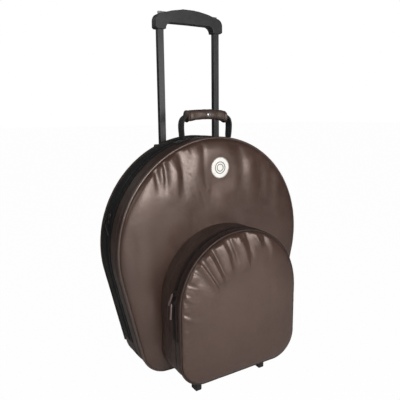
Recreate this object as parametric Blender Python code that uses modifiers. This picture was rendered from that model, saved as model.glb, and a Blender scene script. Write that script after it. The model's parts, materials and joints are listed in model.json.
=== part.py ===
"""A cymbal bag on wheels, in metres, +Z up and front towards -Y, on its feet and wheels at z = 0."""

import math

import bmesh
import bpy
from mathutils import Matrix, Vector

# Gaps and step counts used all over
seat_gap = 0.0003
cut_overrun = 0.020
merge_distance = 1e-6
arc_steps = 36
corner_steps = 6
screw_steps = 12
round_steps = 24
rim_steps = 48

# Main compartment, seen from the front
bag_half_width = 0.300
bag_centre_height = 0.392
bag_side_lean = math.radians(13)
bag_bottom_height = 0.040
bag_corner_radius = 0.080
bag_depth = 0.126
bag_wall = 0.010
piping_proud = 0.003
piping_width = 0.0074
piping_flange = 0.010
front_crown = 0.018
front_panel_wall = 0.008
back_crown = 0.0255
back_panel_wall = 0.004
crown_reach = 0.060

# Main zip
zip_offset = 0.0155
zip_end_height = 0.122
zip_tape_front_width = 0.025
zip_tape_rear_width = 0.036
tape_thickness = 0.0015
teeth_width = 0.0040
teeth_height = 0.0018

# Front pocket
pocket_half_width = 0.192
pocket_centre_height = 0.262
pocket_bottom_height = 0.048
pocket_corner_radius = 0.075
pocket_depth = 0.122
pocket_wall = 0.006
pocket_panel_wall = 0.005
pocket_crown = 0.014
pocket_zip_from_piping = 0.023
pocket_tape_width = 0.014
flap_split_height = 0.180

# Zip sliders and their pulls
slider_length = 0.016
slider_width = 0.010
slider_height = 0.0055
slider_clearance = 0.0004
main_slider_angles = (math.radians(161.5), math.radians(165.2))
main_pull_tilts = (math.radians(45), math.radians(-38))
main_pull_length = 0.037
main_pull_width = 0.006
pocket_slider_angles = (math.radians(166.0), math.radians(174.0))
pocket_pull_tilts = (math.radians(30), math.radians(9))
pocket_pull_length = 0.0455
pocket_pull_width = 0.005
pull_thickness = 0.0018
pull_neck_half = 0.001
pull_neck_above = 0.0003

# Badge
badge_radius = 0.0295
badge_below_top = 0.084
badge_thickness = 0.0025
badge_dish = 0.0008
badge_rim_width = 0.0025

# Carry handle
strap_spacing = 0.155
strap_width = 0.028
strap_thickness = 0.0040
handle_offset = -0.014
anchor_length = 0.046
anchor_thickness = 0.0025
grip_half_length = 0.064
grip_height = 0.030
grip_depth = 0.034
grip_arch = 0.005
grip_taper_share = 0.04
grip_above_bag = 0.060
strap_bow = 0.003
strap_end_turn = math.radians(84)
strap_bow_shares = ((0.25, 0.7), (0.55, 1.0), (0.85, 0.9))
snap_radius = 0.0055
snap_height = 0.0012

# Trolley handle
rod_spacing = 0.185
rod_width = 0.018
rod_depth = 0.014
rod_wall = 0.0016
trolley_offset = 0.0765
rod_engaged = 0.090
tube_width = 0.023
tube_depth = 0.019
tube_wall = 0.0014
guide_length = 0.030
bezel_half_width = 0.115
bezel_height = 0.038
bezel_below_top = 0.024
bezel_depth = 0.0235
bracket_height = 0.0197
bracket_bottom_height = 0.085
board_thickness = 0.006
rod_reach = 0.320
trolley_grip_half_width = 0.110
trolley_grip_depth = 0.028
trolley_grip_bar = 0.038
trolley_grip_leg_width = 0.031
trolley_grip_shoulder = 0.042
trolley_grip_top_rise = 0.015
trolley_grip_edge = 0.004
arch_steps = 3
button_half_length = 0.022
button_width = 0.012
button_proud = 0.002
button_depth = 0.009
button_travel = 0.0035
yoke_height = 0.006
yoke_width = 0.008
lock_rod_radius = 0.003

# Wheels, axles and their housings
wheel_radius = 0.030
wheel_width = 0.022
wheel_spacing = 0.284
wheel_offset = 0.078
hub_radius = 0.0195
axle_radius = 0.004
axle_clearance = 0.0003
housing_wall = 0.005
housing_top_height = 0.100
housing_bottom_height = 0.014
housing_front_wall = 0.0055
housing_edge = 0.003
wheel_side_clearance = 0.003
wheel_top_clearance = 0.0035
wheel_front_clearance = 0.0025
housing_rear_reach = 0.028

# Front feet, their screws and the pocket's base board
foot_width = 0.020
foot_depth = 0.027
foot_spacing = 0.220
foot_offset = -0.130
foot_edge = 0.003
base_board_half_width = 0.114
base_board_depth = 0.066
base_board_thickness = 0.004
screw_radius = 0.0020
screw_head_radius = 0.0040
screw_head_height = 0.0025
screw_head_recess = 0.0020
housing_screw_length = 0.029

# Divider between cymbals
divider_offset = 0.020
divider_thickness = 0.006
divider_side_gap = 0.025

# Places worked out from the sizes above
half_depth = bag_depth / 2
piping_half = piping_width / 2
front_plane = -half_depth
rear_plane = half_depth
panel_rise = piping_half + seat_gap
pocket_plane = front_plane - pocket_depth
pocket_zip_offset = pocket_plane + pocket_zip_from_piping
front_reach = -(pocket_plane - panel_rise - pocket_crown)
rear_reach = wheel_offset + wheel_radius
mid_y = (front_reach - rear_reach) / 2
bag_top_height = bag_centre_height + bag_half_width
badge_height = bag_top_height - badge_below_top
bezel_top_height = bag_top_height - bezel_below_top
grip_leg_bottom = bezel_top_height + rod_reach
sides = (("left", -1), ("right", 1))


class Outline:
    """The rounded shape of a compartment from the front: a round top, leaning sides and rounded corners."""

    def __init__(self, half_width, centre_height, lean, bottom_height, corner_radius):
        self.half_width = half_width
        self.centre_height = centre_height
        self.lean = lean
        self.bottom_height = bottom_height
        self.corner_radius = corner_radius
        self.corner_height = bottom_height + corner_radius
        drop = centre_height - self.corner_height
        reach = half_width - corner_radius - drop * math.sin(lean)
        self.corner_x = reach / math.cos(lean)

    def side_x(self, inset, height):
        """Half the width at a height on the straight side."""
        reach = self.half_width - inset + (height - self.centre_height) * math.sin(self.lean)
        return reach / math.cos(self.lean)

    def top_arc(self, inset, start, end, steps):
        radius = self.half_width - inset
        turns = [start + (end - start) * i / steps for i in range(steps + 1)]
        return [(radius * math.cos(t), self.centre_height + radius * math.sin(t)) for t in turns]

    def corner_arc(self, inset, side, start, end):
        radius = self.corner_radius - inset
        turns = [start + (end - start) * i / corner_steps for i in range(corner_steps + 1)]
        return [
            (side * self.corner_x + radius * math.cos(t), self.corner_height + radius * math.sin(t))
            for t in turns
        ]

    def closed(self, inset):
        """The whole outline as (x, z) points, anticlockwise from the lower right side."""
        points = self.top_arc(inset, -self.lean, math.pi + self.lean, arc_steps)
        points += self.corner_arc(inset, -1, math.pi + self.lean, 1.5 * math.pi)
        points += self.corner_arc(inset, 1, 1.5 * math.pi, 2 * math.pi - self.lean)
        return points

    def over_the_top(self, inset, end_height):
        """The outline from a height on the right side, over the top, to that height on the left."""
        end_x = self.side_x(inset, end_height)
        arc = self.top_arc(inset, -self.lean, math.pi + self.lean, arc_steps)
        return [(end_x, end_height)] + arc + [(-end_x, end_height)]


bag = Outline(bag_half_width, bag_centre_height, bag_side_lean, bag_bottom_height, bag_corner_radius)
pocket = Outline(
    pocket_half_width, pocket_centre_height, 0, pocket_bottom_height, pocket_corner_radius
)
divider_bottom = bag_bottom_height + piping_proud + bag_wall + seat_gap
divider_shape = Outline(
    bag_half_width - divider_side_gap,
    bag_centre_height,
    bag_side_lean,
    divider_bottom,
    bag_corner_radius,
)

for old in list(bpy.data.objects):
    bpy.data.objects.remove(old, do_unlink=True)


def new_collection(name):
    collection = bpy.data.collections.new(name)
    bpy.context.scene.collection.children.link(collection)
    return collection


parts = new_collection("cymbal_bag")
cutters = new_collection("cutters")


def finish(name, colour, roughness, metallic=0.0):
    """A plain Principled material."""
    material = bpy.data.materials.new(name)
    material.use_nodes = True
    shader = material.node_tree.nodes["Principled BSDF"]
    shader.inputs["Base Color"].default_value = (*colour, 1)
    shader.inputs["Roughness"].default_value = roughness
    shader.inputs["Metallic"].default_value = metallic
    return material


brown_vinyl = finish("brown_vinyl", (0.095, 0.060, 0.050), 0.38)
black_cloth = finish("black_cloth", (0.016, 0.013, 0.012), 0.75)
black_zip = finish("black_zip", (0.012, 0.011, 0.011), 0.55)
webbing = finish("webbing", (0.014, 0.013, 0.013), 0.80)
pull_cord = finish("pull_cord", (0.42, 0.33, 0.32), 0.60)
slider_metal = finish("slider_metal", (0.05, 0.045, 0.045), 0.40, 0.8)
badge_white = finish("badge_white", (0.80, 0.78, 0.73), 0.35)
moulded_black = finish("moulded_black", (0.022, 0.022, 0.023), 0.45)
rod_grey = finish("rod_grey", (0.055, 0.055, 0.060), 0.35, 0.7)
bright_steel = finish("bright_steel", (0.55, 0.55, 0.55), 0.30, 1.0)
wheel_rubber = finish("wheel_rubber", (0.020, 0.020, 0.020), 0.70)
board_grey = finish("board_grey", (0.060, 0.060, 0.060), 0.60)
lining_cloth = finish("lining_cloth", (0.030, 0.028, 0.027), 0.90)


def smooth(mesh):
    mesh.shade_smooth()
    mesh.set_sharp_from_angle(angle=math.radians(35))


def add_part(name, mesh, material, pivot=None):
    """One named part, with its origin moved to its joint's axis if it has one."""
    if pivot is not None:
        mesh.transform(Matrix.Translation(-Vector(pivot)))
    smooth(mesh)
    mesh.materials.clear()
    mesh.materials.append(material)
    part = bpy.data.objects.new(name, mesh)
    if pivot is not None:
        part.location = pivot
    parts.objects.link(part)
    return part


def add_cutter(name, mesh):
    cutter = bpy.data.objects.new(name, mesh)
    cutter.hide_render = True
    cutter.display_type = "WIRE"
    cutters.objects.link(cutter)
    return cutter


def cut(part, *shapes):
    for shape in shapes:
        boolean = part.modifiers.new(f"cut_{shape.name}", "BOOLEAN")
        boolean.operation = "DIFFERENCE"
        boolean.solver = "EXACT"
        boolean.object = shape


def union(part, shape):
    boolean = part.modifiers.new(f"join_{shape.name}", "BOOLEAN")
    boolean.operation = "UNION"
    boolean.solver = "EXACT"
    boolean.object = shape


def round_edges(part, width, segments=2):
    bevel = part.modifiers.new("rounded_edges", "BEVEL")
    bevel.width = width
    bevel.segments = segments
    bevel.limit_method = "ANGLE"
    bevel.angle_limit = math.radians(40)


def plate_mesh(outlines, low, high):
    """Flat outlines of (x, z) points, filled as one 2D curve and extruded between two depths along Y."""
    curve = bpy.data.curves.new("outline", "CURVE")
    curve.dimensions = "2D"
    curve.fill_mode = "BOTH"
    curve.extrude = (high - low) / 2
    for points in outlines:
        spline = curve.splines.new("POLY")
        spline.points.add(len(points) - 1)
        for knot, (x, z) in zip(spline.points, points):
            knot.co = (x, z, 0, 1)
        spline.use_cyclic_u = True
    holder = bpy.data.objects.new("outline", curve)
    bpy.context.scene.collection.objects.link(holder)
    graph = bpy.context.evaluated_depsgraph_get()
    mesh = bpy.data.meshes.new_from_object(holder.evaluated_get(graph))
    bpy.data.objects.remove(holder)
    work = bmesh.new()
    work.from_mesh(mesh)
    bmesh.ops.remove_doubles(work, verts=work.verts, dist=merge_distance)
    upright = Matrix.Rotation(math.pi / 2, 4, "X")
    work.transform(Matrix.Translation((0, mid_y + (low + high) / 2, 0)) @ upright)
    bmesh.ops.recalc_face_normals(work, faces=work.faces)
    work.to_mesh(mesh)
    work.free()
    return mesh


def ring_mesh(outline, outer_inset, inner_inset, low, high):
    return plate_mesh([outline.closed(outer_inset), outline.closed(inner_inset)], low, high)


def loft_mesh(rings):
    """A closed skin over rings of points, with a flat cap at each end."""
    work = bmesh.new()
    rows = [[work.verts.new(point) for point in ring] for ring in rings]
    for row, following in zip(rows, rows[1:]):
        for i in range(len(row)):
            j = (i + 1) % len(row)
            work.faces.new((row[i], row[j], following[j], following[i]))
    work.faces.new(rows[0][::-1])
    work.faces.new(rows[-1])
    bmesh.ops.recalc_face_normals(work, faces=work.faces)
    mesh = bpy.data.meshes.new("loft")
    work.to_mesh(mesh)
    work.free()
    return mesh


def crowned_mesh(outline, base, crown, wall, outward):
    """A padded panel: a shallow dome of even thickness that stands on its rim."""
    rise_shares = (0.0, 0.42, 0.78, 0.94, 1.0)
    reach_shares = (0.0, 0.04, 0.22, 0.55, 1.0)
    rings = []
    for rise, reach in zip(rise_shares, reach_shares):
        y = mid_y + base + outward * rise * crown
        rings.append([(x, y, z) for x, z in outline.closed(reach * crown_reach)])
    rings.reverse()
    for rise, reach in zip(rise_shares, reach_shares):
        y = mid_y + base + outward * rise * (crown - wall)
        inset = wall + reach * (crown_reach - wall)
        rings.append([(x, y, z) for x, z in outline.closed(inset)])
    return loft_mesh(rings)


def box_mesh(low, high):
    """A box between two corners whose Y is counted from the middle of the main compartment."""
    work = bmesh.new()
    bmesh.ops.create_cube(work, size=1)
    size = [b - a for a, b in zip(low, high)]
    middle = [(a + b) / 2 for a, b in zip(low, high)]
    bmesh.ops.scale(work, vec=size, verts=work.verts)
    bmesh.ops.translate(work, vec=(middle[0], mid_y + middle[1], middle[2]), verts=work.verts)
    mesh = bpy.data.meshes.new("box")
    work.to_mesh(mesh)
    work.free()
    return mesh


def cylinder_mesh(radius, start, end, steps=round_steps):
    """A cylinder between two points whose Y is counted from the middle of the main compartment."""
    start = Vector((start[0], mid_y + start[1], start[2]))
    end = Vector((end[0], mid_y + end[1], end[2]))
    run = end - start
    turn = run.to_track_quat("Z", "Y").to_matrix().to_4x4()
    work = bmesh.new()
    bmesh.ops.create_cone(
        work,
        cap_ends=True,
        segments=steps,
        radius1=radius,
        radius2=radius,
        depth=run.length,
        matrix=Matrix.Translation((start + end) / 2) @ turn,
    )
    mesh = bpy.data.meshes.new("cylinder")
    work.to_mesh(mesh)
    work.free()
    return mesh


def screw_mesh(head, tip):
    """A screw from the outer face of its head to its tip."""
    head = Vector(head)
    tip = Vector(tip)
    along = tip - head
    profile = [
        (screw_head_radius, 0),
        (screw_head_radius, screw_head_height),
        (screw_radius, screw_head_height),
        (screw_radius, along.length),
    ]
    angles = [2 * math.pi * i / screw_steps for i in range(screw_steps)]
    rings = []
    for radius, run in profile:
        rings.append([(radius * math.cos(a), radius * math.sin(a), run) for a in angles])
    mesh = loft_mesh(rings)
    turn = along.to_track_quat("Z", "Y").to_matrix().to_4x4()
    mesh.transform(Matrix.Translation((head.x, mid_y + head.y, head.z)) @ turn)
    return mesh


def screw_hole(name, head, tip):
    """A cutter for a screw's hole, which runs out past the head so that the recess is open."""
    head = Vector(head)
    tip = Vector(tip)
    outwards = (head - tip).normalized()
    mouth = head + outwards * (screw_head_recess + seat_gap)
    seat = head - outwards * (screw_head_height + seat_gap)
    recess = cylinder_mesh(screw_head_radius + seat_gap, mouth, seat, screw_steps)
    bore = cylinder_mesh(screw_radius + seat_gap, mouth, tip - outwards * seat_gap, screw_steps)
    return add_cutter(f"{name}_recess", recess), add_cutter(f"{name}_bore", bore)


def make_main_shell():
    wall_outer = piping_proud
    wall_inner = piping_proud + bag_wall
    front_low = front_plane + piping_half + seat_gap
    front_high = zip_offset - seat_gap / 2
    rear_low = zip_offset + seat_gap / 2
    rear_high = rear_plane - piping_half - seat_gap
    made = {}
    add_part(
        "front_gusset",
        ring_mesh(bag, wall_outer, wall_inner, front_low, front_high),
        brown_vinyl,
        lid_axis,
    )
    made["rear_gusset"] = add_part(
        "rear_gusset", ring_mesh(bag, wall_outer, wall_inner, rear_low, rear_high), black_cloth
    )
    add_part(
        "front_piping",
        ring_mesh(bag, 0, piping_flange, front_plane - piping_half, front_plane + piping_half),
        brown_vinyl,
        lid_axis,
    )
    for name in ("rear_piping", "rear_piping_bottom"):
        ring = ring_mesh(bag, 0, piping_flange, rear_plane - piping_half, rear_plane + piping_half)
        made[name] = add_part(name, ring, brown_vinyl)
    add_part(
        "front_panel",
        crowned_mesh(bag, front_plane - panel_rise, front_crown, front_panel_wall, -1),
        brown_vinyl,
        lid_axis,
    )
    made["back_panel"] = add_part(
        "back_panel",
        crowned_mesh(bag, rear_plane + panel_rise, back_crown, back_panel_wall, 1),
        brown_vinyl,
    )
    board_inset = piping_flange + wall_outer + 2 * seat_gap
    board_high = rear_plane + piping_half - seat_gap / 2
    made["frame_board"] = add_part(
        "frame_board",
        plate_mesh([bag.closed(board_inset)], board_high - board_thickness, board_high),
        board_grey,
    )
    divider = plate_mesh(
        [divider_shape.closed(0)], divider_offset, divider_offset + divider_thickness
    )
    add_part("cymbal_divider", divider, lining_cloth, divider_axis)
    return made


def zip_mesh(outline, end_height, edge, width, towards):
    """One half of a zip over the top of an outline: its tape, thicker at the teeth along the opening's edge."""
    inner = piping_proud - seat_gap
    tape_top = inner - tape_thickness
    teeth_top = tape_top - teeth_height
    near = edge + towards * teeth_width
    far = edge + towards * width
    section = [
        (inner, edge),
        (teeth_top, edge),
        (teeth_top, near),
        (tape_top, near),
        (tape_top, far),
        (inner, far),
    ]
    paths = []
    for inset, y in section:
        over = outline.over_the_top(inset, end_height)
        paths.append([(x, mid_y + y, z) for x, z in over])
    return loft_mesh([list(ring) for ring in zip(*paths)])


def make_main_zip():
    front = zip_mesh(bag, zip_end_height, zip_offset - seat_gap, zip_tape_front_width, -1)
    rear = zip_mesh(bag, zip_end_height, zip_offset + seat_gap, zip_tape_rear_width, 1)
    add_part("main_zip_front", front, black_zip, lid_axis)
    add_part("main_zip_rear", rear, black_zip)


def slider_mesh(outline, angle, offset):
    """A slider's body, seated on the teeth at an angle around the outline's centre."""
    height_above = piping_proud - seat_gap - tape_thickness - teeth_height - slider_clearance
    inner = outline.half_width - height_above
    work = bmesh.new()
    bmesh.ops.create_cube(work, size=1)
    bmesh.ops.scale(work, vec=(slider_height, slider_width, slider_length), verts=work.verts)
    bmesh.ops.translate(work, vec=(inner + slider_height / 2, 0, 0), verts=work.verts)
    turn = Matrix.Rotation(-angle, 4, "Y")
    place = Matrix.Translation((0, mid_y + offset, outline.centre_height))
    work.transform(place @ turn)
    mesh = bpy.data.meshes.new("slider")
    work.to_mesh(mesh)
    work.free()
    return mesh, inner + slider_height


def make_sliders(prefix, outline, offset, angles, tilts, pull_length, pull_width, pull_finish):
    """Two sliders on one zip, each with a pull that hangs from the outer end of its body."""
    centre = (0, mid_y + offset, outline.centre_height)
    for place_name, angle, tilt in zip(("upper", "lower"), angles, tilts):
        mesh, top = slider_mesh(outline, angle, offset)
        slider = add_part(f"{prefix}_slider_{place_name}", mesh, slider_metal, centre)
        round_edges(slider, slider_height / 8, 1)
        rise = math.pi - angle
        pull_z = outline.centre_height + top * math.sin(rise)
        slider_reach = top * math.cos(rise) + slider_length / 2 * math.sin(rise)
        tip_above_centre = max(top * math.sin(rise) - pull_length * math.cos(tilt), 0)
        zip_reach = math.sqrt((top - slider_height - slider_clearance) ** 2 - tip_above_centre**2)
        lean = abs(tilt)
        corner_rise = pull_neck_above * math.cos(lean) + pull_neck_half * math.sin(lean)
        swing_room = math.hypot(pull_thickness / 2, corner_rise) + seat_gap
        hang_room = pull_thickness / 2 + seat_gap
        pull_reach = max(slider_reach + swing_room, zip_reach + hang_room)
        pivot = (-pull_reach, mid_y + offset, pull_z)
        pull = pull_mesh(pull_length, pull_width, tilt)
        pull.transform(Matrix.Translation(pivot))
        add_part(f"{prefix}_pull_{place_name}", pull, pull_finish, pivot)


def pull_mesh(length, width, tilt):
    """A flat pull with a slim neck that hangs down from the origin, swung sideways by its tilt."""
    half = width / 2
    neck = pull_neck_half
    neck_low = -(half * math.tan(abs(tilt)) + neck)
    shoulder = neck_low - (half - neck)
    corner = half / 2
    right = [
        (corner, -length),
        (half, corner - length),
        (half, shoulder),
        (neck, neck_low),
        (neck, pull_neck_above),
    ]
    left = [(-x, z) for x, z in right[::-1]]
    mesh = plate_mesh([right + left], -pull_thickness / 2, pull_thickness / 2)
    sideways = Matrix.Rotation(math.pi / 2, 4, "Z") @ Matrix.Translation((0, -mid_y, 0))
    mesh.transform(Matrix.Rotation(tilt, 4, "X") @ sideways)
    return mesh


def make_pocket():
    wall_outer = piping_proud
    wall_inner = piping_proud + pocket_wall
    back = front_plane - panel_rise - front_crown - seat_gap
    strip_low = pocket_plane + piping_half + seat_gap
    strip_high = pocket_zip_offset - seat_gap / 2
    reach = pocket_half_width + cut_overrun
    front = pocket_plane - panel_rise - pocket_crown - cut_overrun
    top = pocket_centre_height + pocket_half_width + cut_overrun
    split_low = flap_split_height - seat_gap / 2
    split_high = flap_split_height + seat_gap / 2
    above = add_cutter("above_split", box_mesh((-reach, front, split_low), (reach, back, top)))
    bottom = pocket_bottom_height - cut_overrun
    below = add_cutter("below_split", box_mesh((-reach, front, bottom), (reach, back, split_high)))
    mouth = box_mesh((-reach, front, split_low), (reach, pocket_zip_offset + seat_gap / 2, top))
    gusset = add_part(
        "pocket_gusset",
        ring_mesh(pocket, wall_outer, wall_inner, strip_low, back),
        brown_vinyl,
        lid_axis,
    )
    cut(gusset, add_cutter("flap_mouth", mouth))
    strip = add_part(
        "pocket_flap_strip",
        ring_mesh(pocket, wall_outer, wall_inner, strip_low, strip_high),
        brown_vinyl,
        flap_axis,
    )
    cut(strip, below)
    regions = (("pocket_lower", above, lid_axis), ("pocket_flap", below, flap_axis))
    for region, cutter, pivot in regions:
        piping = add_part(
            f"{region}_piping",
            ring_mesh(pocket, 0, wall_inner, pocket_plane - piping_half, pocket_plane + piping_half),
            brown_vinyl,
            pivot,
        )
        panel = add_part(
            f"{region}_panel",
            crowned_mesh(pocket, pocket_plane - panel_rise, pocket_crown, pocket_panel_wall, -1),
            brown_vinyl,
            pivot,
        )
        for piece in (piping, panel):
            cut(piece, cutter)
    zip_end = flap_split_height + 2 * seat_gap
    zip_front = zip_mesh(pocket, zip_end, pocket_zip_offset - seat_gap, pocket_tape_width, -1)
    zip_rear = zip_mesh(pocket, zip_end, pocket_zip_offset + seat_gap, pocket_tape_width, 1)
    add_part("pocket_zip_front", zip_front, black_zip, flap_axis)
    add_part("pocket_zip_rear", zip_rear, black_zip, lid_axis)
    board_low = pocket_bottom_height + wall_inner + seat_gap
    board_high = board_low + base_board_thickness
    board_half = base_board_depth / 2
    board = add_part(
        "pocket_base_board",
        box_mesh(
            (-base_board_half_width, foot_offset - board_half, board_low),
            (base_board_half_width, foot_offset + board_half, board_high),
        ),
        board_grey,
        lid_axis,
    )
    return gusset, board, board_high


def make_feet(gusset, board, board_high):
    foot_top = pocket_bottom_height + piping_proud - seat_gap
    for side_name, side in sides:
        x = side * foot_spacing / 2
        foot = add_part(
            f"foot_{side_name}",
            box_mesh(
                (x - foot_width / 2, foot_offset - foot_depth / 2, 0),
                (x + foot_width / 2, foot_offset + foot_depth / 2, foot_top),
            ),
            moulded_black,
            lid_axis,
        )
        round_edges(foot, foot_edge, 1)
        head = (x, foot_offset, screw_head_recess + foot_edge)
        tip = (x, foot_offset, board_high - seat_gap)
        past = (x, foot_offset, board_high + cut_overrun)
        recess, bore = screw_hole(f"foot_hole_{side_name}", head, past)
        cut(foot, recess, bore)
        cut(gusset, bore)
        cut(board, bore)
        add_part(f"foot_screw_{side_name}", screw_mesh(head, tip), bright_steel, lid_axis)


def make_badge():
    surface = front_plane - panel_rise - front_crown - seat_gap
    face_offset = surface - badge_thickness
    disc = cylinder_mesh(
        badge_radius, (0, surface, badge_height), (0, face_offset, badge_height), rim_steps
    )
    badge = add_part("badge", disc, badge_white, lid_axis)
    face = cylinder_mesh(
        badge_radius - badge_rim_width,
        (0, face_offset + badge_dish, badge_height),
        (0, face_offset - cut_overrun, badge_height),
        rim_steps,
    )
    cut(badge, add_cutter("badge_face", face))


def ribbon_mesh(path, half_widths, thickness, offset):
    """A flat strap along (x, z) points, as wide along Y as its half widths say."""
    rings = []
    y = mid_y + offset
    for i, ((x, z), half) in enumerate(zip(path, half_widths)):
        before = Vector(path[max(i - 1, 0)])
        after = Vector(path[min(i + 1, len(path) - 1)])
        along = (after - before).normalized()
        across = Vector((-along.y, along.x)) * thickness / 2
        rings.append(
            [
                (x + across.x, y - half, z + across.y),
                (x + across.x, y + half, z + across.y),
                (x - across.x, y + half, z - across.y),
                (x - across.x, y - half, z - across.y),
            ]
        )
    return loft_mesh(rings)


def make_carry_handle():
    """Anchors stitched to the top, two straps that turn on them, and the padded wrap between the straps."""
    half = strap_width / 2
    strap_x = strap_spacing / 2
    anchor_inner = piping_proud - 2 * seat_gap - tape_thickness
    anchor_outer = anchor_inner - anchor_thickness
    grip_middle = bag_top_height + grip_above_bag
    grip_end = grip_middle - grip_arch
    for side_name, side in sides:
        turn = math.acos(strap_x / bag_half_width)
        spread = anchor_length / 2 / bag_half_width
        outer = bag.top_arc(anchor_outer, turn - spread, turn + spread, corner_steps)
        inner = bag.top_arc(anchor_inner, turn - spread, turn + spread, corner_steps)
        shape = [(side * x, z) for x, z in outer + inner[::-1]]
        add_part(
            f"strap_anchor_{side_name}",
            plate_mesh([shape], handle_offset - half, handle_offset + half),
            webbing,
            lid_axis,
        )
        path = []
        widths = []
        for i in range(corner_steps + 1):
            tilt = strap_end_turn * (1 - i / corner_steps)
            path.append((side * strap_x, handle_height - (half - seat_gap) * math.sin(tilt)))
            widths.append((half - seat_gap) * math.cos(tilt))
        end_x = grip_half_length + seat_gap
        for rise_share, bow_share in strap_bow_shares:
            height = handle_height + rise_share * (grip_end - handle_height)
            lean_in = (strap_x - end_x) * rise_share**3
            path.append((side * (strap_x - lean_in + strap_bow * bow_share), height))
            widths.append(half - seat_gap)
        for x in (end_x + strap_thickness, end_x):
            path.append((side * x, grip_end))
            widths.append(half - seat_gap)
        add_part(
            f"carry_strap_{side_name}",
            ribbon_mesh(path, widths, strap_thickness, handle_offset),
            webbing,
            handle_axis,
        )
    rings = []
    for i in range(corner_steps * 2 + 1):
        share = -1 + i / corner_steps
        x = share * grip_half_length
        z = grip_middle - grip_arch * share**2
        taper = 1 - grip_taper_share * share**4
        half_y = taper * grip_depth / 2
        half_z = taper * grip_height / 2
        turns = [2 * math.pi * j / screw_steps for j in range(screw_steps)]
        y = mid_y + handle_offset
        rings.append([(x, y + half_y * math.cos(a), z + half_z * math.sin(a)) for a in turns])
    add_part("handle_wrap", loft_mesh(rings), brown_vinyl, handle_axis)
    front = handle_offset - grip_depth / 2 - seat_gap
    snap_face = (0, front - snap_height, grip_middle)
    snap = cylinder_mesh(snap_radius, (0, front, grip_middle), snap_face)
    add_part("handle_snap", snap, bright_steel, handle_axis)


def tube_mesh(x, offset, width, depth, wall, low, high):
    """A hollow rectangular tube that stands upright, open at both ends."""
    work = bmesh.new()
    loops = []
    for inset in (0, wall):
        half_x = width / 2 - inset
        half_y = depth / 2 - inset
        corners = [(-half_x, -half_y), (half_x, -half_y), (half_x, half_y), (-half_x, half_y)]
        for z in (low, high):
            loops.append([work.verts.new((x + a, mid_y + offset + b, z)) for a, b in corners])
    outer_low, outer_high, inner_low, inner_high = loops
    pairs = (
        (outer_low, outer_high),
        (outer_high, inner_high),
        (inner_high, inner_low),
        (inner_low, outer_low),
    )
    for one, other in pairs:
        for i in range(len(one)):
            j = (i + 1) % len(one)
            work.faces.new((one[i], one[j], other[j], other[i]))
    bmesh.ops.recalc_face_normals(work, faces=work.faces)
    mesh = bpy.data.meshes.new("tube")
    work.to_mesh(mesh)
    work.free()
    return mesh


def make_trolley_frame(shell):
    """What is fixed to the back: the bezel, the outer tubes, and the bracket that they stand on."""
    tube_front = rear_plane + piping_half + seat_gap
    bezel_bottom = bezel_top_height - bezel_height
    bezel = add_part(
        "trolley_bezel",
        box_mesh(
            (-bezel_half_width, tube_front, bezel_bottom),
            (bezel_half_width, tube_front + bezel_depth, bezel_top_height),
        ),
        moulded_black,
    )
    round_edges(bezel, housing_edge, 2)
    notch = box_mesh(
        (-bezel_half_width - seat_gap, tube_front - seat_gap, bezel_bottom - seat_gap),
        (bezel_half_width + seat_gap, tube_front + bezel_depth + cut_overrun, bag_top_height + cut_overrun),
    )
    cut(shell["back_panel"], add_cutter("bezel_notch", notch))
    tube_low = bracket_bottom_height + bracket_height + seat_gap
    for side_name, side in sides:
        x = side * rod_spacing / 2
        half_x = rod_width / 2 + seat_gap
        half_y = rod_depth / 2 + seat_gap
        way = box_mesh(
            (x - half_x, trolley_offset - half_y, bezel_bottom - cut_overrun),
            (x + half_x, trolley_offset + half_y, bezel_top_height + cut_overrun),
        )
        cut(bezel, add_cutter(f"rod_way_{side_name}", way))
        tube_high = bezel_bottom - seat_gap
        tube = tube_mesh(x, trolley_offset, tube_width, tube_depth, tube_wall, tube_low, tube_high)
        add_part(f"outer_tube_{side_name}", tube, rod_grey)
    housing_inner = wheel_spacing / 2 - wheel_width / 2 - wheel_side_clearance - housing_wall
    bracket_half = housing_inner - seat_gap
    bracket_rear = trolley_offset + tube_depth / 2
    bracket_top = bracket_bottom_height + bracket_height
    bracket = box_mesh(
        (-bracket_half, tube_front, bracket_bottom_height),
        (bracket_half, bracket_rear, bracket_top),
    )
    return add_part("bottom_bracket", bracket, moulded_black)


def trolley_grip_outline():
    """The grip from the front: two legs, a bar between them and a slightly arched top."""
    low = grip_leg_bottom
    outer = trolley_grip_half_width
    leg_inner = outer - trolley_grip_leg_width
    under = low + trolley_grip_shoulder + trolley_grip_top_rise - trolley_grip_bar
    top = low + trolley_grip_shoulder
    fillet = under - low
    corner = trolley_grip_shoulder / 2
    right = [(leg_inner, low), (outer - trolley_grip_edge, low), (outer, low + trolley_grip_edge)]
    for i in range(corner_steps + 1):
        a = math.pi / 2 * i / corner_steps
        right.append((outer - corner + corner * math.cos(a), top - corner + corner * math.sin(a)))
    for i in range(1, arch_steps):
        share = 1 - i / arch_steps
        right.append(((outer - corner) * share, top + trolley_grip_top_rise * (1 - share**2)))
    inside = []
    for i in range(1, corner_steps):
        a = math.pi / 2 * i / corner_steps
        x = leg_inner - fillet + fillet * math.sin(a)
        inside.append((x, under - fillet + fillet * math.cos(a)))
    left = [(-x, z) for x, z in right[::-1]]
    inside_left = [(-x, z) for x, z in inside[::-1]]
    return right + [(0, top + trolley_grip_top_rise)] + left + inside_left + [(0, under)] + inside


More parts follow.
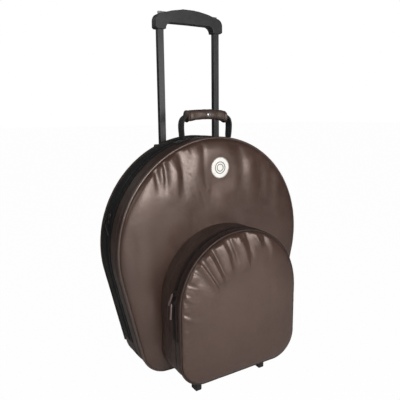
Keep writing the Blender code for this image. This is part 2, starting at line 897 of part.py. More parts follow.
def make_trolley():
    rod_low = bezel_top_height - rod_engaged
    grip_front = trolley_offset - trolley_grip_depth / 2
    grip_mesh = plate_mesh([trolley_grip_outline()], grip_front, grip_front + trolley_grip_depth)
    grip = add_part("trolley_grip", grip_mesh, moulded_black, trolley_axis)
    round_edges(grip, trolley_grip_edge, 2)
    top = grip_leg_bottom + trolley_grip_shoulder + trolley_grip_top_rise
    yoke_top = top - button_depth - seat_gap
    yoke_low = yoke_top - yoke_height
    rod_x = rod_spacing / 2
    yoke_x = rod_x + yoke_width / 2
    yoke_y = yoke_width / 2
    button_x = button_half_length
    button_y = button_width / 2
    room = seat_gap + button_travel
    button_way = box_mesh(
        (-button_x - seat_gap, trolley_offset - button_y - seat_gap, yoke_top - button_travel),
        (button_x + seat_gap, trolley_offset + button_y + seat_gap, top + cut_overrun),
    )
    yoke_way = box_mesh(
        (-yoke_x - seat_gap, trolley_offset - yoke_y - seat_gap, yoke_low - room),
        (yoke_x + seat_gap, trolley_offset + yoke_y + seat_gap, yoke_top + seat_gap),
    )
    cut(grip, add_cutter("button_way", button_way), add_cutter("yoke_way", yoke_way))
    yoke = box_mesh(
        (-yoke_x, trolley_offset - yoke_y, yoke_low), (yoke_x, trolley_offset + yoke_y, yoke_top)
    )
    lock_rods = []
    for side_name, side in sides:
        x = side * rod_x
        way = cylinder_mesh(
            lock_rod_radius + 2 * seat_gap,
            (x, trolley_offset, grip_leg_bottom - cut_overrun),
            (x, trolley_offset, yoke_low),
        )
        cut(grip, add_cutter(f"lock_way_{side_name}", way))
        rod_high = grip_leg_bottom - seat_gap
        rod = tube_mesh(x, trolley_offset, rod_width, rod_depth, rod_wall, rod_low, rod_high)
        add_part(f"rod_{side_name}", rod, rod_grey, trolley_axis)
        guide_high = rod_low - seat_gap
        inner_half_x = tube_width / 2 - tube_wall - seat_gap
        inner_half_y = tube_depth / 2 - tube_wall - seat_gap
        add_part(
            f"rod_guide_{side_name}",
            box_mesh(
                (x - inner_half_x, trolley_offset - inner_half_y, guide_high - guide_length),
                (x + inner_half_x, trolley_offset + inner_half_y, guide_high),
            ),
            moulded_black,
            trolley_axis,
        )
        lock_rods.append(
            cylinder_mesh(
                lock_rod_radius,
                (x, trolley_offset, rod_low + button_travel + seat_gap),
                (x, trolley_offset, yoke_low + yoke_height / 2),
                screw_steps,
            )
        )
    lock_fork = add_part("lock_fork", yoke, bright_steel, trolley_axis)
    for lock_rod in lock_rods:
        union(lock_fork, add_cutter("lock_rod", lock_rod))
    button = add_part(
        "push_button",
        box_mesh(
            (-button_x, trolley_offset - button_y, yoke_top + seat_gap),
            (button_x, trolley_offset + button_y, top + button_proud),
        ),
        moulded_black,
        trolley_axis,
    )
    round_edges(button, button_proud, 2)


def split_rear_piping(shell, housing_outer, housing_inner):
    """The rear piping stops at the housings, and a short length runs between them."""
    reach = bag_half_width + cut_overrun
    low_y = rear_plane - piping_half - cut_overrun
    high_y = rear_plane + piping_half + cut_overrun
    bottom = bag_bottom_height - cut_overrun
    between = box_mesh((-housing_outer, low_y, bottom), (housing_outer, high_y, housing_top_height))
    cut(shell["rear_piping"], add_cutter("between_housings", between))
    top = bag_top_height + cut_overrun
    above = box_mesh((-reach, low_y, housing_top_height), (reach, high_y, top))
    cut(shell["rear_piping_bottom"], add_cutter("above_housings", above))
    for side_name, side in sides:
        near, far = sorted((side * housing_inner, side * reach))
        beside = box_mesh((near, low_y, bottom), (far, high_y, housing_top_height + cut_overrun))
        cut(shell["rear_piping_bottom"], add_cutter(f"beside_housing_{side_name}", beside))


def make_wheels(shell, bracket):
    outer_half = wheel_width / 2 + wheel_side_clearance + housing_wall
    middle = wheel_spacing / 2
    split_rear_piping(shell, middle + outer_half + seat_gap, middle - outer_half - seat_gap)
    front = wheel_offset - wheel_radius - wheel_front_clearance - housing_front_wall
    for side_name, side in sides:
        x = side * wheel_spacing / 2
        low = (x - outer_half, front, housing_bottom_height)
        high = (x + outer_half, wheel_offset + housing_rear_reach, housing_top_height)
        housing = add_part(f"wheel_housing_{side_name}", box_mesh(low, high), moulded_black)
        round_edges(housing, housing_edge, 2)
        room = box_mesh(
            tuple(value - seat_gap for value in low),
            (high[0] + seat_gap, high[1] + cut_overrun, high[2] + seat_gap),
        )
        room_cutter = add_cutter(f"housing_room_{side_name}", room)
        for name in ("rear_gusset", "back_panel", "frame_board"):
            cut(shell[name], room_cutter)
        well_half = wheel_width / 2 + wheel_side_clearance
        well = box_mesh(
            (x - well_half, front + housing_front_wall, housing_bottom_height - cut_overrun),
            (x + well_half, high[1] + cut_overrun, 2 * wheel_radius + wheel_top_clearance),
        )
        cut(housing, add_cutter(f"wheel_well_{side_name}", well))
        ends = [(x + end * outer_half, wheel_offset, wheel_radius) for end in (-1, 1)]
        past = outer_half + cut_overrun
        overrun = [(x + end * past, wheel_offset, wheel_radius) for end in (-1, 1)]
        bore_mesh = cylinder_mesh(axle_radius + axle_clearance, *overrun)
        bore = add_cutter(f"axle_bore_{side_name}", bore_mesh)
        cut(housing, bore)
        add_part(f"axle_{side_name}", cylinder_mesh(axle_radius, *ends), bright_steel)
        faces = [(x + end * wheel_width / 2, wheel_offset, wheel_radius) for end in (-1, 1)]
        pivot = (x, mid_y + wheel_offset, wheel_radius)
        hub_body = cylinder_mesh(hub_radius, *faces)
        hub = add_part(f"wheel_hub_{side_name}", hub_body, moulded_black, pivot)
        cut(hub, bore)
        tyre_body = cylinder_mesh(wheel_radius, *faces, rim_steps)
        tyre = add_part(f"wheel_tyre_{side_name}", tyre_body, wheel_rubber, pivot)
        round_edges(tyre, wheel_width / 8, 2)
        seat = add_cutter(f"hub_seat_{side_name}", cylinder_mesh(hub_radius + seat_gap, *overrun))
        cut(tyre, seat)
        screw_z = bracket_bottom_height + bracket_height / 3
        head_x = x + side * (outer_half - screw_head_recess)
        head = (head_x, trolley_offset, screw_z)
        tip = (head_x - side * housing_screw_length, trolley_offset, screw_z)
        recess, hole = screw_hole(f"housing_hole_{side_name}", head, tip)
        cut(housing, recess, hole)
        cut(bracket, hole)
        add_part(f"housing_screw_{side_name}", screw_mesh(head, tip), bright_steel)


# Joint axes, as points in the part's own frame
divider_axis = (0, mid_y + divider_offset, divider_bottom)
lid_axis = (0, mid_y + zip_offset, bag_bottom_height)
flap_axis = (0, mid_y + pocket_plane - panel_rise - pocket_crown - seat_gap, flap_split_height)
anchor_rise = tape_thickness + anchor_thickness + 2 * seat_gap
anchor_radius = bag_half_width - piping_proud + anchor_rise
strap_inner_x = (strap_spacing - strap_thickness) / 2
strap_foot_height = bag_centre_height + math.sqrt(anchor_radius**2 - strap_inner_x**2)
handle_height = strap_foot_height + strap_width / 2 + seat_gap
handle_axis = (0, mid_y + handle_offset, handle_height)
trolley_axis = (0, mid_y + trolley_offset, grip_leg_bottom)

shell = make_main_shell()
make_main_zip()
make_sliders(
    "main",
    bag,
    zip_offset,
    main_slider_angles,
    main_pull_tilts,
    main_pull_length,
    main_pull_width,
    slider_metal,
)
gusset, board, board_high = make_pocket()
make_feet(gusset, board, board_high)
make_sliders(
    "pocket",
    pocket,
    pocket_zip_offset,
    pocket_slider_angles,
    pocket_pull_tilts,
    pocket_pull_length,
    pocket_pull_width,
    pull_cord,
)
make_badge()
make_carry_handle()
bracket = make_trolley_frame(shell)
make_trolley()
make_wheels(shell, bracket)

for part in parts.objects:
    print(part.name, [round(value, 5) for value in part.location])
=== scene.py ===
"""The looks of the cymbal bag: gathered vinyl panels, piping, zips, straps, finishes and lights."""

import json
import math

import bmesh
import bpy
import numpy as np
from mathutils import Matrix, Vector, noise


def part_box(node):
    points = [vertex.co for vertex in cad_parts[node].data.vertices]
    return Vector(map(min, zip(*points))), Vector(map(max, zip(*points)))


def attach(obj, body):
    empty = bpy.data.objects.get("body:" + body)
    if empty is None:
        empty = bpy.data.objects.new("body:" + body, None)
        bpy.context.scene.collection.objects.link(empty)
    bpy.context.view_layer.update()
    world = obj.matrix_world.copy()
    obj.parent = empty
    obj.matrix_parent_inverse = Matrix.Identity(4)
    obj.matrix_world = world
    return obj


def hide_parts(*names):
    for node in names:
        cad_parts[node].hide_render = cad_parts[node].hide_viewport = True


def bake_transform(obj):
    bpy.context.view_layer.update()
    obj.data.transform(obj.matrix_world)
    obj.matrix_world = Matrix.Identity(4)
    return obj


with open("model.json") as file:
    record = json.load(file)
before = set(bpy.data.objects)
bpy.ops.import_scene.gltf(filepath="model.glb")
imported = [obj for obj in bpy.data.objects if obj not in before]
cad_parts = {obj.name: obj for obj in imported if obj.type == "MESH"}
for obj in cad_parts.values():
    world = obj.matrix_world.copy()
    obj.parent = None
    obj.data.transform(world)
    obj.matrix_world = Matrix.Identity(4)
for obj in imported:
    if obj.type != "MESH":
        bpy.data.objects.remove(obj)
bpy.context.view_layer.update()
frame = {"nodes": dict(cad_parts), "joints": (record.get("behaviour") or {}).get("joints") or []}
nodes = frame["nodes"]
joints = {joint["name"]: joint for joint in frame["joints"]}

# Planes and sizes of the bag, as the CAD model has them
FRONT_PIPING_Y = -0.0155
REAR_PIPING_Y = 0.1105
MAIN_ZIP_Y = 0.063
ZIP_GAP = 0.0003
FRONT_TAPE = 0.025
REAR_TAPE = 0.036
ZIP_END_Z = 0.122
FRONT_CROWN_Y = -0.0375
POCKET_PIPING_Y = -0.1375
POCKET_CROWN_Y = -0.1555
POCKET_ZIP_Y = -0.1145
POCKET_BACK_Y = -0.0379
POCKET_TAPE = 0.014
FLAP_Z = 0.180
BEAD = 0.0037

# Sizes of the skins over it
PANEL_RIM = 0.0062
PANEL_REACH = 0.085
GUSSET_INSET = 0.0030
UNDER_TAPE_INSET = 0.0025
GUSSET_LINING = 0.0130
POCKET_LINING = 0.0090
BACK_LIMIT_Y = 0.1405
UNDER_MAIN_TAPE = (MAIN_ZIP_Y - FRONT_TAPE - 0.001, MAIN_ZIP_Y + REAR_TAPE + 0.001)
UNDER_POCKET_TAPE = (POCKET_ZIP_Y - POCKET_TAPE - 0.001, POCKET_ZIP_Y + POCKET_TAPE + 0.001)
HOUSING_ROOM = 0.0006
CUT_ROOM = 0.0004
BEHIND_Y = 0.2
WHEEL_STEPS = 96

# Cloth that bends over a hinge: its two bodies, and where the bend starts and ends
FLAP_BEND = ("lid", "pocket_flap", (0, POCKET_CROWN_Y, 0.178), (0, POCKET_CROWN_Y, 0.214))
LID_BEND = ("back_shell", "lid", (0, MAIN_ZIP_Y + 0.030, 0.04), (0, MAIN_ZIP_Y - 0.020, 0.04))


# ---------------------------------------------------------------- outlines and meshes


class Shape:
    """The outline of a compartment from the front, followed by length from the middle of its bottom edge."""

    def __init__(self, half_width, centre, lean, bottom, corner):
        self.centre = centre
        self.half_width = half_width
        corner_z = bottom + corner
        corner_x = (half_width - corner - (centre - corner_z) * math.sin(lean)) / math.cos(lean)
        turn = np.linspace(-math.pi / 2, -lean, 160)
        arc = np.stack([corner_x + corner * np.cos(turn), corner_z + corner * np.sin(turn)], -1)
        arc_normals = np.stack([np.cos(turn), np.sin(turn)], -1)
        top = np.linspace(-lean, math.pi / 2, 700)
        round_top = np.stack([half_width * np.cos(top), centre + half_width * np.sin(top)], -1)
        top_normals = np.stack([np.cos(top), np.sin(top)], -1)
        points = np.concatenate([[[0, bottom]], arc, round_top])
        normals = np.concatenate([[[0, -1]], arc_normals, top_normals])
        mirror = np.array([-1, 1])
        points = np.concatenate([points, points[-2::-1] * mirror])
        normals = np.concatenate([normals, normals[-2::-1] * mirror])
        steps = np.linalg.norm(np.diff(points, axis=0), axis=1)
        keep = np.concatenate([[True], steps > 1e-9])
        self.points, self.normals = points[keep], normals[keep]
        steps = np.linalg.norm(np.diff(self.points, axis=0), axis=1)
        self.along = np.concatenate([[0], np.cumsum(steps)])
        self.length = self.along[-1]

    def at(self, s):
        x, z = (np.interp(s, self.along, self.points[:, k]) for k in (0, 1))
        nx, nz = (np.interp(s, self.along, self.normals[:, k]) for k in (0, 1))
        size = np.hypot(nx, nz)
        return np.stack([x, z], -1), np.stack([nx / size, nz / size], -1)

    def at_height(self, z):
        """How far along the right side a height is reached."""
        half = len(self.along) // 2
        return float(np.interp(z, self.points[:half, 1], self.along[:half]))

    def around(self, spacing):
        count = 2 * int(round(self.length / spacing / 2))
        return np.linspace(0, self.length, count, endpoint=False)

    def over_the_top(self, z, spacing):
        start = self.at_height(z)
        count = int(round((self.length - 2 * start) / spacing))
        return np.linspace(start, self.length - start, count)


BAG = Shape(0.300, 0.392, math.radians(13), 0.040, 0.080)
POCKET = Shape(0.192, 0.262, 0.0, 0.048, 0.075)


def smoothstep(t):
    t = np.clip(t, 0, 1)
    return t * t * (3 - 2 * t)


def wander(x, y, z, scale, seed=0.0):
    """Smooth noise between about -1 and 1, the same at each run."""
    flat = np.stack([np.ravel(a) for a in np.broadcast_arrays(x, y, z)], -1) * scale + seed
    values = np.array([noise.noise(Vector(p)) for p in flat])
    return values.reshape(np.broadcast_arrays(x, y, z)[0].shape) * 1.6


def sweep(shape, s, inset, y):
    """Points on the outline moved inwards by inset and set at depth y: rows along it, columns across it."""
    points, normals = shape.at(s)
    inset, y = np.broadcast_arrays(inset, y)
    if inset.ndim == 1:
        inset, y = (np.tile(a, (len(s), 1)) for a in (inset, y))
    x = points[:, :1] - normals[:, :1] * inset
    z = points[:, 1:] - normals[:, 1:] * inset
    return np.stack([x, y, z], -1)


def grid_faces(rows, cols, close_rows=False, close_cols=False):
    i = np.arange(rows if close_rows else rows - 1)[:, None]
    j = np.arange(cols if close_cols else cols - 1)[None]
    after, beside = (i + 1) % rows, (j + 1) % cols
    corners = [i * cols + j, after * cols + j, after * cols + beside, i * cols + beside]
    return np.stack(np.broadcast_arrays(*corners), -1).reshape(-1, 4)


def build(name, points, faces, materials, strip=None, sharp=None, face_slots=None, caps=()):
    """A mesh object from points and faces, with its normals pointing out and its finishes."""
    mesh = bpy.data.meshes.new(name)
    faces = [list(f) for f in np.asarray(faces).tolist()] + [list(c) for c in caps]
    mesh.from_pydata(np.asarray(points, float).reshape(-1, 3).tolist(), [], faces)
    for material in materials:
        mesh.materials.append(material)
    if face_slots is not None:
        full = np.zeros(len(mesh.polygons), np.int32)
        full[: len(face_slots)] = face_slots
        mesh.polygons.foreach_set("material_index", full)
    if strip is not None:
        data = np.zeros((len(mesh.vertices), 3), np.float32)
        data[:, : strip.shape[-1]] = strip.reshape(-1, strip.shape[-1])
        mesh.attributes.new("strip", "FLOAT_VECTOR", "POINT").data.foreach_set("vector", data.ravel())
    work = bmesh.new()
    work.from_mesh(mesh)
    bmesh.ops.recalc_face_normals(work, faces=work.faces)
    work.to_mesh(mesh)
    work.free()
    mesh.shade_smooth()
    if sharp:
        mesh.set_sharp_from_angle(angle=math.radians(sharp))
    made = bpy.data.objects.new(name, mesh)
    bpy.context.scene.collection.objects.link(made)
    return made


def swept(name, shape, s, inset, y, materials, closed, sharp=None, face_slots=None):
    """A closed skin swept along an outline, capped at its ends where the sweep isn't a ring."""
    points = sweep(shape, s, inset, y)
    rows, cols = points.shape[:2]
    across = np.concatenate([[0], np.cumsum(np.linalg.norm(np.diff(points[0], axis=0), axis=1))])
    strip = np.stack(np.broadcast_arrays(s[:, None], across[None]), -1)
    faces = grid_faces(rows, cols, closed, True)
    caps = []
    if not closed:
        last = (rows - 1) * cols
        caps = [list(range(cols)), list(range(last + cols - 1, last - 1, -1))]
    return build(name, points, faces, materials, strip, sharp, face_slots, caps)


def inward_rings(shape, s, insets, middle, spacing, inward=None):
    """Rings of an outline, moved in by insets and then drawn to a middle point; and how deep each lies."""
    points, normals = shape.at(s)
    rings = [points - normals * inset for inset in insets]
    last = rings[-1]
    if inward is None:
        inward = max(int(round(np.linalg.norm(last - middle, axis=1).mean() / spacing)), 8)
    depths = list(insets - insets[0])
    for share in np.linspace(1, 0, inward + 1)[1:-1]:
        rings.append(middle + (last - middle) * share)
        depths.append(depths[-1] + spacing)
    return np.array(rings), np.array(depths)


def bun(name, rows, middles, materials, face_slots=None):
    """A closed skin of rings, fanned at both ends to a point in the middle."""
    count = rows.shape[1]
    total = len(rows) * count
    verts = np.concatenate([rows.reshape(-1, 3), middles])
    caps = []
    for end, base in enumerate((0, total - count)):
        caps += [(base + j, base + (j + 1) % count, total + end) for j in range(count)]
    faces = grid_faces(len(rows), count, False, True)
    return build(name, verts, faces, materials, verts[:, ::2], None, face_slots, caps)


def dress(obj, body, replaces=()):
    """Gives a piece its body, or fixes its place where it lies over a bend between two bodies; and hides the
    nodes it stands for.
    """
    if isinstance(body, tuple):
        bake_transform(obj)
    else:
        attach(obj, body)
    if replaces:
        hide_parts(*replaces)
    return obj


# ---------------------------------------------------------------- finishes


def add_node(tree, kind, values=(), **settings):
    """A node with its settings, and its inputs set or joined to other nodes' outputs."""
    made = tree.nodes.new(kind)
    for key, value in settings.items():
        setattr(made, key, value)
    for key, value in dict(values).items():
        if isinstance(value, bpy.types.NodeSocket):
            tree.links.new(value, made.inputs[key])
        else:
            made.inputs[key].default_value = value
    return made


def srgb(values):
    """A colour from screen values of 0 to 255."""
    shares = [v / 255 for v in values]
    return tuple(c / 12.92 if c <= 0.04045 else ((c + 0.055) / 1.055) ** 2.4 for c in shares)


class Finish:
    """A material's node tree, with short ways to add and join nodes."""

    def __init__(self, name, roughness=0.5, metallic=0.0):
        self.material = bpy.data.materials.new(name)
        self.material.use_nodes = True
        self.tree = self.material.node_tree
        self.shader = self.tree.nodes["Principled BSDF"]
        self.shader.inputs["Roughness"].default_value = roughness
        self.shader.inputs["Metallic"].default_value = metallic
        self.place = self.node("ShaderNodeTexCoord").outputs["Object"]
        self.bump_in = None

    def node(self, kind, values=(), **settings):
        return add_node(self.tree, kind, values, **settings)

    def noise(self, scale, detail=3.0, rough=0.55, place=None):
        place = self.place if place is None else place
        values = {"Vector": place, "Scale": scale, "Detail": detail, "Roughness": rough}
        return self.node("ShaderNodeTexNoise", values).outputs["Fac"]

    def stretch(self, scale):
        return self.node("ShaderNodeMapping", {"Vector": self.place, "Scale": scale}).outputs["Vector"]

    def attribute(self, name, output="Fac"):
        return self.node("ShaderNodeAttribute", attribute_name=name).outputs[output]

    def math(self, operation, a, b=0.0):
        return self.node("ShaderNodeMath", {0: a, 1: b}, operation=operation).outputs[0]

    def ranged(self, value, low, high, new_low, new_high):
        values = {"Value": value, 1: low, 2: high, 3: new_low, 4: new_high}
        return self.node("ShaderNodeMapRange", values).outputs["Result"]

    def mix(self, share, a, b):
        """One colour into another; a plain colour is given in screen values."""
        a, b = ((*srgb(value), 1) if isinstance(value, tuple) else value for value in (a, b))
        return self.node("ShaderNodeMix", {0: share, 6: a, 7: b}, data_type="RGBA").outputs[2]

    def bump(self, height, strength, distance):
        values = {"Height": height, "Strength": strength, "Distance": distance}
        if self.bump_in is not None:
            values["Normal"] = self.bump_in
        self.bump_in = self.node("ShaderNodeBump", values).outputs["Normal"]

    def finish(self, colour, roughness=None, **uniform):
        links = self.tree.links
        links.new(colour, self.shader.inputs["Base Color"])
        if roughness is not None:
            links.new(roughness, self.shader.inputs["Roughness"])
        if self.bump_in is not None:
            links.new(self.bump_in, self.shader.inputs["Normal"])
        for key, value in uniform.items():
            self.shader.inputs[key.replace("_", " ")].default_value = value
        return self.material


def vinyl(name, dark, light, worn_and_highlight, rough=(0.28, 0.40), dents=0.0010, gloss=1.0):
    """Soft coated cloth: a fine grain, cloudy colour, a painted highlight where the skin is raised, and a
    shine that comes and goes.
    """
    f = Finish(name)
    cloud = f.ranged(f.noise(9.0, 4.0), 0.35, 0.65, 0.0, 1.0)
    fine = f.noise(70.0, 4.0, 0.6)
    colour = f.mix(cloud, dark, light)
    colour = f.mix(f.ranged(fine, 0.3, 0.7, 0.0, 0.16), colour, worn_and_highlight)
    # painted highlight: where the skin is raised, its colour is mixed towards the pale colour
    colour = f.mix(f.ranged(f.attribute("ridge_highlight"), 0.0, 1.0, 0.0, 0.45), colour, worn_and_highlight)
    cells = f.node("ShaderNodeTexVoronoi", {"Vector": f.place, "Scale": 700.0}).outputs["Distance"]
    f.bump(f.noise(26.0, 3.0, 0.5), 0.55, dents)
    f.bump(f.noise(240.0, 3.0, 0.6), 0.22, 0.0004)
    f.bump(cells, 0.16, 0.0003)
    shine = f.ranged(f.noise(34.0, 3.0), 0.3, 0.7, *rough)
    tint = (1.0, 0.84, 0.76, 1.0)
    return f.finish(colour, shine, Specular_IOR_Level=gloss, IOR=1.55, Specular_Tint=tint)


def woven(name, dark, light, pitch, rough=0.72, sheen=0.15, strength=0.55):
    """Plain-woven cloth along its own strip: threads over and under, with slubs."""
    f = Finish(name, rough)
    parts = f.node("ShaderNodeSeparateXYZ", {"Vector": f.attribute("strip", "Vector")})
    along = f.math("SINE", f.math("MULTIPLY", parts.outputs["X"], math.tau / pitch))
    across = f.math("SINE", f.math("MULTIPLY", parts.outputs["Y"], math.tau / pitch))
    threads = f.math("MULTIPLY", along, across)
    slub = f.noise(160.0, 3.0)
    mixed = f.math("ADD", f.ranged(threads, -1.0, 1.0, 0.0, 0.75), f.ranged(slub, 0.3, 0.7, 0.0, 0.25))
    f.bump(f.noise(30.0, 3.0), 0.35, 0.0010)
    f.bump(threads, strength, pitch / 5)
    colour = f.mix(mixed, dark, light)
    return f.finish(colour, Sheen_Weight=sheen, Sheen_Roughness=0.4, Specular_IOR_Level=0.25)


def ribbed(name, dark, light, rib, pitch, rough=0.7):
    """Webbing: ribs along the strap, crossed by its weft."""
    f = Finish(name, rough)
    parts = f.node("ShaderNodeSeparateXYZ", {"Vector": f.attribute("strip", "Vector")})
    ribs = f.math("ABSOLUTE", f.math("SINE", f.math("MULTIPLY", parts.outputs["Y"], math.pi / rib)))
    shift = f.math("MULTIPLY", parts.outputs["Y"], math.tau / rib)
    weft = f.math("SINE", f.math("ADD", f.math("MULTIPLY", parts.outputs["X"], math.tau / pitch), shift))
    height = f.math("ADD", ribs, f.math("MULTIPLY", weft, 0.3))
    f.bump(height, 0.7, rib / 4)
    fibre = f.noise(420.0, 3.0)
    share = f.math("ADD", f.ranged(height, 0.0, 1.3, 0.0, 0.7), f.ranged(fibre, 0.3, 0.7, 0.0, 0.3))
    return f.finish(f.mix(share, dark, light), Sheen_Weight=0.12)


def moulded(name, dark, light, rough=(0.38, 0.52), grain=900.0):
    f = Finish(name)
    f.bump(f.noise(grain, 2.0), 0.18, 0.00025)
    f.bump(f.noise(30.0, 2.0), 0.12, 0.0006)
    cloud = f.ranged(f.noise(24.0, 4.0), 0.3, 0.7, 0.0, 1.0)
    shine = f.ranged(f.noise(60.0, 4.0, 0.65), 0.3, 0.7, *rough)
    return f.finish(f.mix(cloud, dark, light), shine)


def metal(name, dark, light, rough=(0.22, 0.38), grain=(400.0, 400.0, 14.0), metallic=1.0):
    f = Finish(name, metallic=metallic)
    streak = f.noise(1.0, 4.0, 0.6, f.stretch(grain))
    f.bump(streak, 0.10, 0.0002)
    shine = f.ranged(streak, 0.3, 0.7, *rough)
    return f.finish(f.mix(f.ranged(streak, 0.3, 0.7, 0.0, 1.0), dark, light), shine)


def thread(name, dark, light):
    f = Finish(name, 0.6)
    f.bump(f.noise(1800.0, 2.0), 0.5, 0.0002)
    return f.finish(f.mix(f.noise(900.0, 2.0), dark, light))


# the third colour is both the fine grain's pale flecks and the painted highlight on raised parts
brown = vinyl("brown_vinyl", (62, 43, 37), (73, 53, 46), (94, 73, 65), (0.33, 0.45))
brown_gusset = vinyl("brown_gusset_vinyl", (56, 42, 37), (68, 53, 47), (88, 72, 65), (0.44, 0.60), gloss=0.5)
piping_vinyl = vinyl("piping_vinyl", (64, 50, 45), (78, 62, 56), (104, 88, 80), (0.28, 0.40), 0.0004)
dark_piping = vinyl("dark_piping_vinyl", (40, 29, 25), (52, 39, 34), (70, 55, 48), (0.46, 0.60), 0.0004, 0.5)
wrap_vinyl = vinyl("wrap_vinyl", (63, 50, 46), (74, 60, 55), (94, 78, 72), (0.40, 0.55), 0.0006, 0.7)
black_cloth = woven("black_cloth", (32, 27, 25), (52, 45, 41), 0.0011, 0.78, 0.05)
tape_cloth = woven("zip_tape_cloth", (10, 8, 7), (22, 18, 16), 0.0009, 0.66, 0.05)
brown_tape = woven("pocket_tape_cloth", (50, 35, 29), (66, 48, 41), 0.0009, 0.66, 0.05)
lining = woven("lining_cloth", (38, 36, 36), (58, 56, 56), 0.0008, 0.8, 0.1, 0.35)
webbing = ribbed("webbing", (12, 11, 11), (34, 30, 29), 0.0021, 0.0013)
coil_nylon = moulded("coil_nylon", (12, 11, 11), (24, 22, 22), (0.55, 0.68))
seam_thread = thread("seam_thread", (52, 41, 37), (84, 70, 63))
black_thread = thread("black_thread", (16, 15, 15), (40, 38, 37))
plastic = moulded("moulded_plastic", (28, 27, 28), (40, 39, 40))
grip_plastic = moulded("grip_plastic", (40, 40, 41), (52, 52, 53), (0.40, 0.52))
button_plastic = moulded("button_plastic", (30, 30, 31), (40, 40, 41), (0.34, 0.46))
foot_rubber = moulded("foot_rubber", (26, 25, 25), (40, 38, 38), (0.55, 0.70), 500.0)
tyre_rubber = moulded("tyre_rubber", (24, 24, 24), (42, 41, 40), (0.60, 0.78), 420.0)
board = moulded("base_board", (58, 57, 56), (76, 74, 72), (0.6, 0.75), 300.0)
rod_metal = metal("rod_metal", (62, 62, 63), (78, 78, 79), (0.34, 0.46), metallic=0.6)
steel = metal("bright_steel", (150, 150, 150), (200, 200, 200), (0.20, 0.34))
slider_metal = metal("slider_metal", (44, 40, 40), (84, 78, 76), (0.26, 0.44), (500.0, 500.0, 500.0), 0.8)
pull_dark = moulded("pull_dark", (26, 23, 22), (44, 40, 38), (0.3, 0.45))
pull_pale = metal("pull_pale", (140, 122, 120), (176, 158, 156), (0.34, 0.5), (300.0, 300.0, 300.0), 0.3)
enamel = moulded("badge_enamel", (252, 249, 242), (255, 253, 248), (0.22, 0.32), 300.0)
enamel_dark = moulded("badge_rings", (96, 90, 86), (120, 113, 108), (0.28, 0.38), 300.0)
enamel_rim = metal("badge_rim", (196, 188, 180), (226, 220, 212), (0.25, 0.4), (200.0, 200.0, 200.0), 0.5)


# ---------------------------------------------------------------- panels with gathers


def fold(x, z, path, width, height, swell, grow, lean=0.0):
    """The height of one ridge, or valley, along a line: it swells at its start and dies away.

    The line, the width and the height are in millimetres. swell is the share of the line over which it
    rises, then falls; grow its width's change along the line. A line that runs down and leans is wider
    on its left, and narrower and steeper on its right.
    """
    path = np.asarray(path, float) / 1000
    width, height = width / 1000, height / 1000
    runs = np.linalg.norm(np.diff(path, axis=0), axis=1)
    total = runs.sum()
    best = np.full(x.shape, 1e9)
    share = np.zeros(x.shape)
    side = np.zeros(x.shape)
    done = 0.0
    for a, b, run in zip(path, path[1:], runs):
        t = ((x - a[0]) * (b[0] - a[0]) + (z - a[1]) * (b[1] - a[1])) / run**2
        t = np.clip(t, 0, 1)
        away = np.hypot(x - a[0] - t * (b[0] - a[0]), z - a[1] - t * (b[1] - a[1]))
        nearer = away < best
        best = np.where(nearer, away, best)
        share = np.where(nearer, (done + t * run) / total, share)
        cross = (x - a[0]) * (b[1] - a[1]) - (z - a[1]) * (b[0] - a[0])
        side = np.where(nearer, np.tanh(cross / run / (0.3 * width)), side)
        done += run
    across = np.exp(-((best / (width * (1 + (grow - 1) * share) * (1 + lean * side))) ** 2.2))
    return height * across * smoothstep(share / swell[0]) * smoothstep((1 - share) / swell[1])


# Lines in the panel's plane, each with its width and height in millimetres
MAIN_FOLDS = [
    ([(-201, 624), (-220, 567), (-229, 520), (-236, 430), (-236, 350)], 22, 3.6, (0.1, 0.75), 1.4),
    ([(-190, 632), (-188, 577), (-184, 540)], 6.5, -4.2, (0.1, 0.6), 1.4),
    ([(-176, 638), (-175, 594), (-176, 566)], 6.5, 2.4, (0.12, 0.6), 1.2),
    ([(-165, 646), (-164, 589), (-171, 530)], 5.5, -4, (0.1, 0.6), 1.4),
    ([(-155, 653), (-139, 605), (-144, 573), (-156, 510)], 13.5, 4, (0.1, 0.55), 1.2),
    ([(-120, 664), (-114, 592), (-123, 510)], 9, -3.6, (0.12, 0.5), 1.6),
    ([(-96, 674), (-94, 640)], 6, 1.2, (0.2, 0.7), 1.3),
    ([(-75, 685), (-71, 642), (-78, 580)], 12, 2.6, (0.12, 0.6), 1.2),
    ([(-50, 687), (-49, 587), (-42, 530)], 6, -3, (0.12, 0.6), 1.6),
    ([(-12, 590), (-5, 538), (8, 498), (15, 450)], 24, 3, (0.3, 0.6), 1.2),
    ([(57, 682), (76, 576), (71, 480)], 20, -2.8, (0.2, 0.6), 1.2),
    ([(105, 645), (105, 520)], 20, 1.8, (0.2, 0.6), 1.2),
    ([(139, 640), (146, 480)], 18, -2.2, (0.2, 0.5), 1.2),
    ([(178, 625), (188, 575)], 6, 1.2, (0.2, 0.6), 1.2),
    ([(211, 600), (208, 508), (196, 440)], 16, 2.6, (0.2, 0.6), 1.2),
    ([(-262, 470), (-262, 350), (-240, 230)], 12, -2.6, (0.3, 0.6), 1.2),
    ([(-215, 300), (-205, 220), (-195, 140)], 15, 2.2, (0.3, 0.6), 1.2),
    ([(250, 330), (236, 240), (215, 150)], 16, 2.4, (0.3, 0.6), 1.2),
]

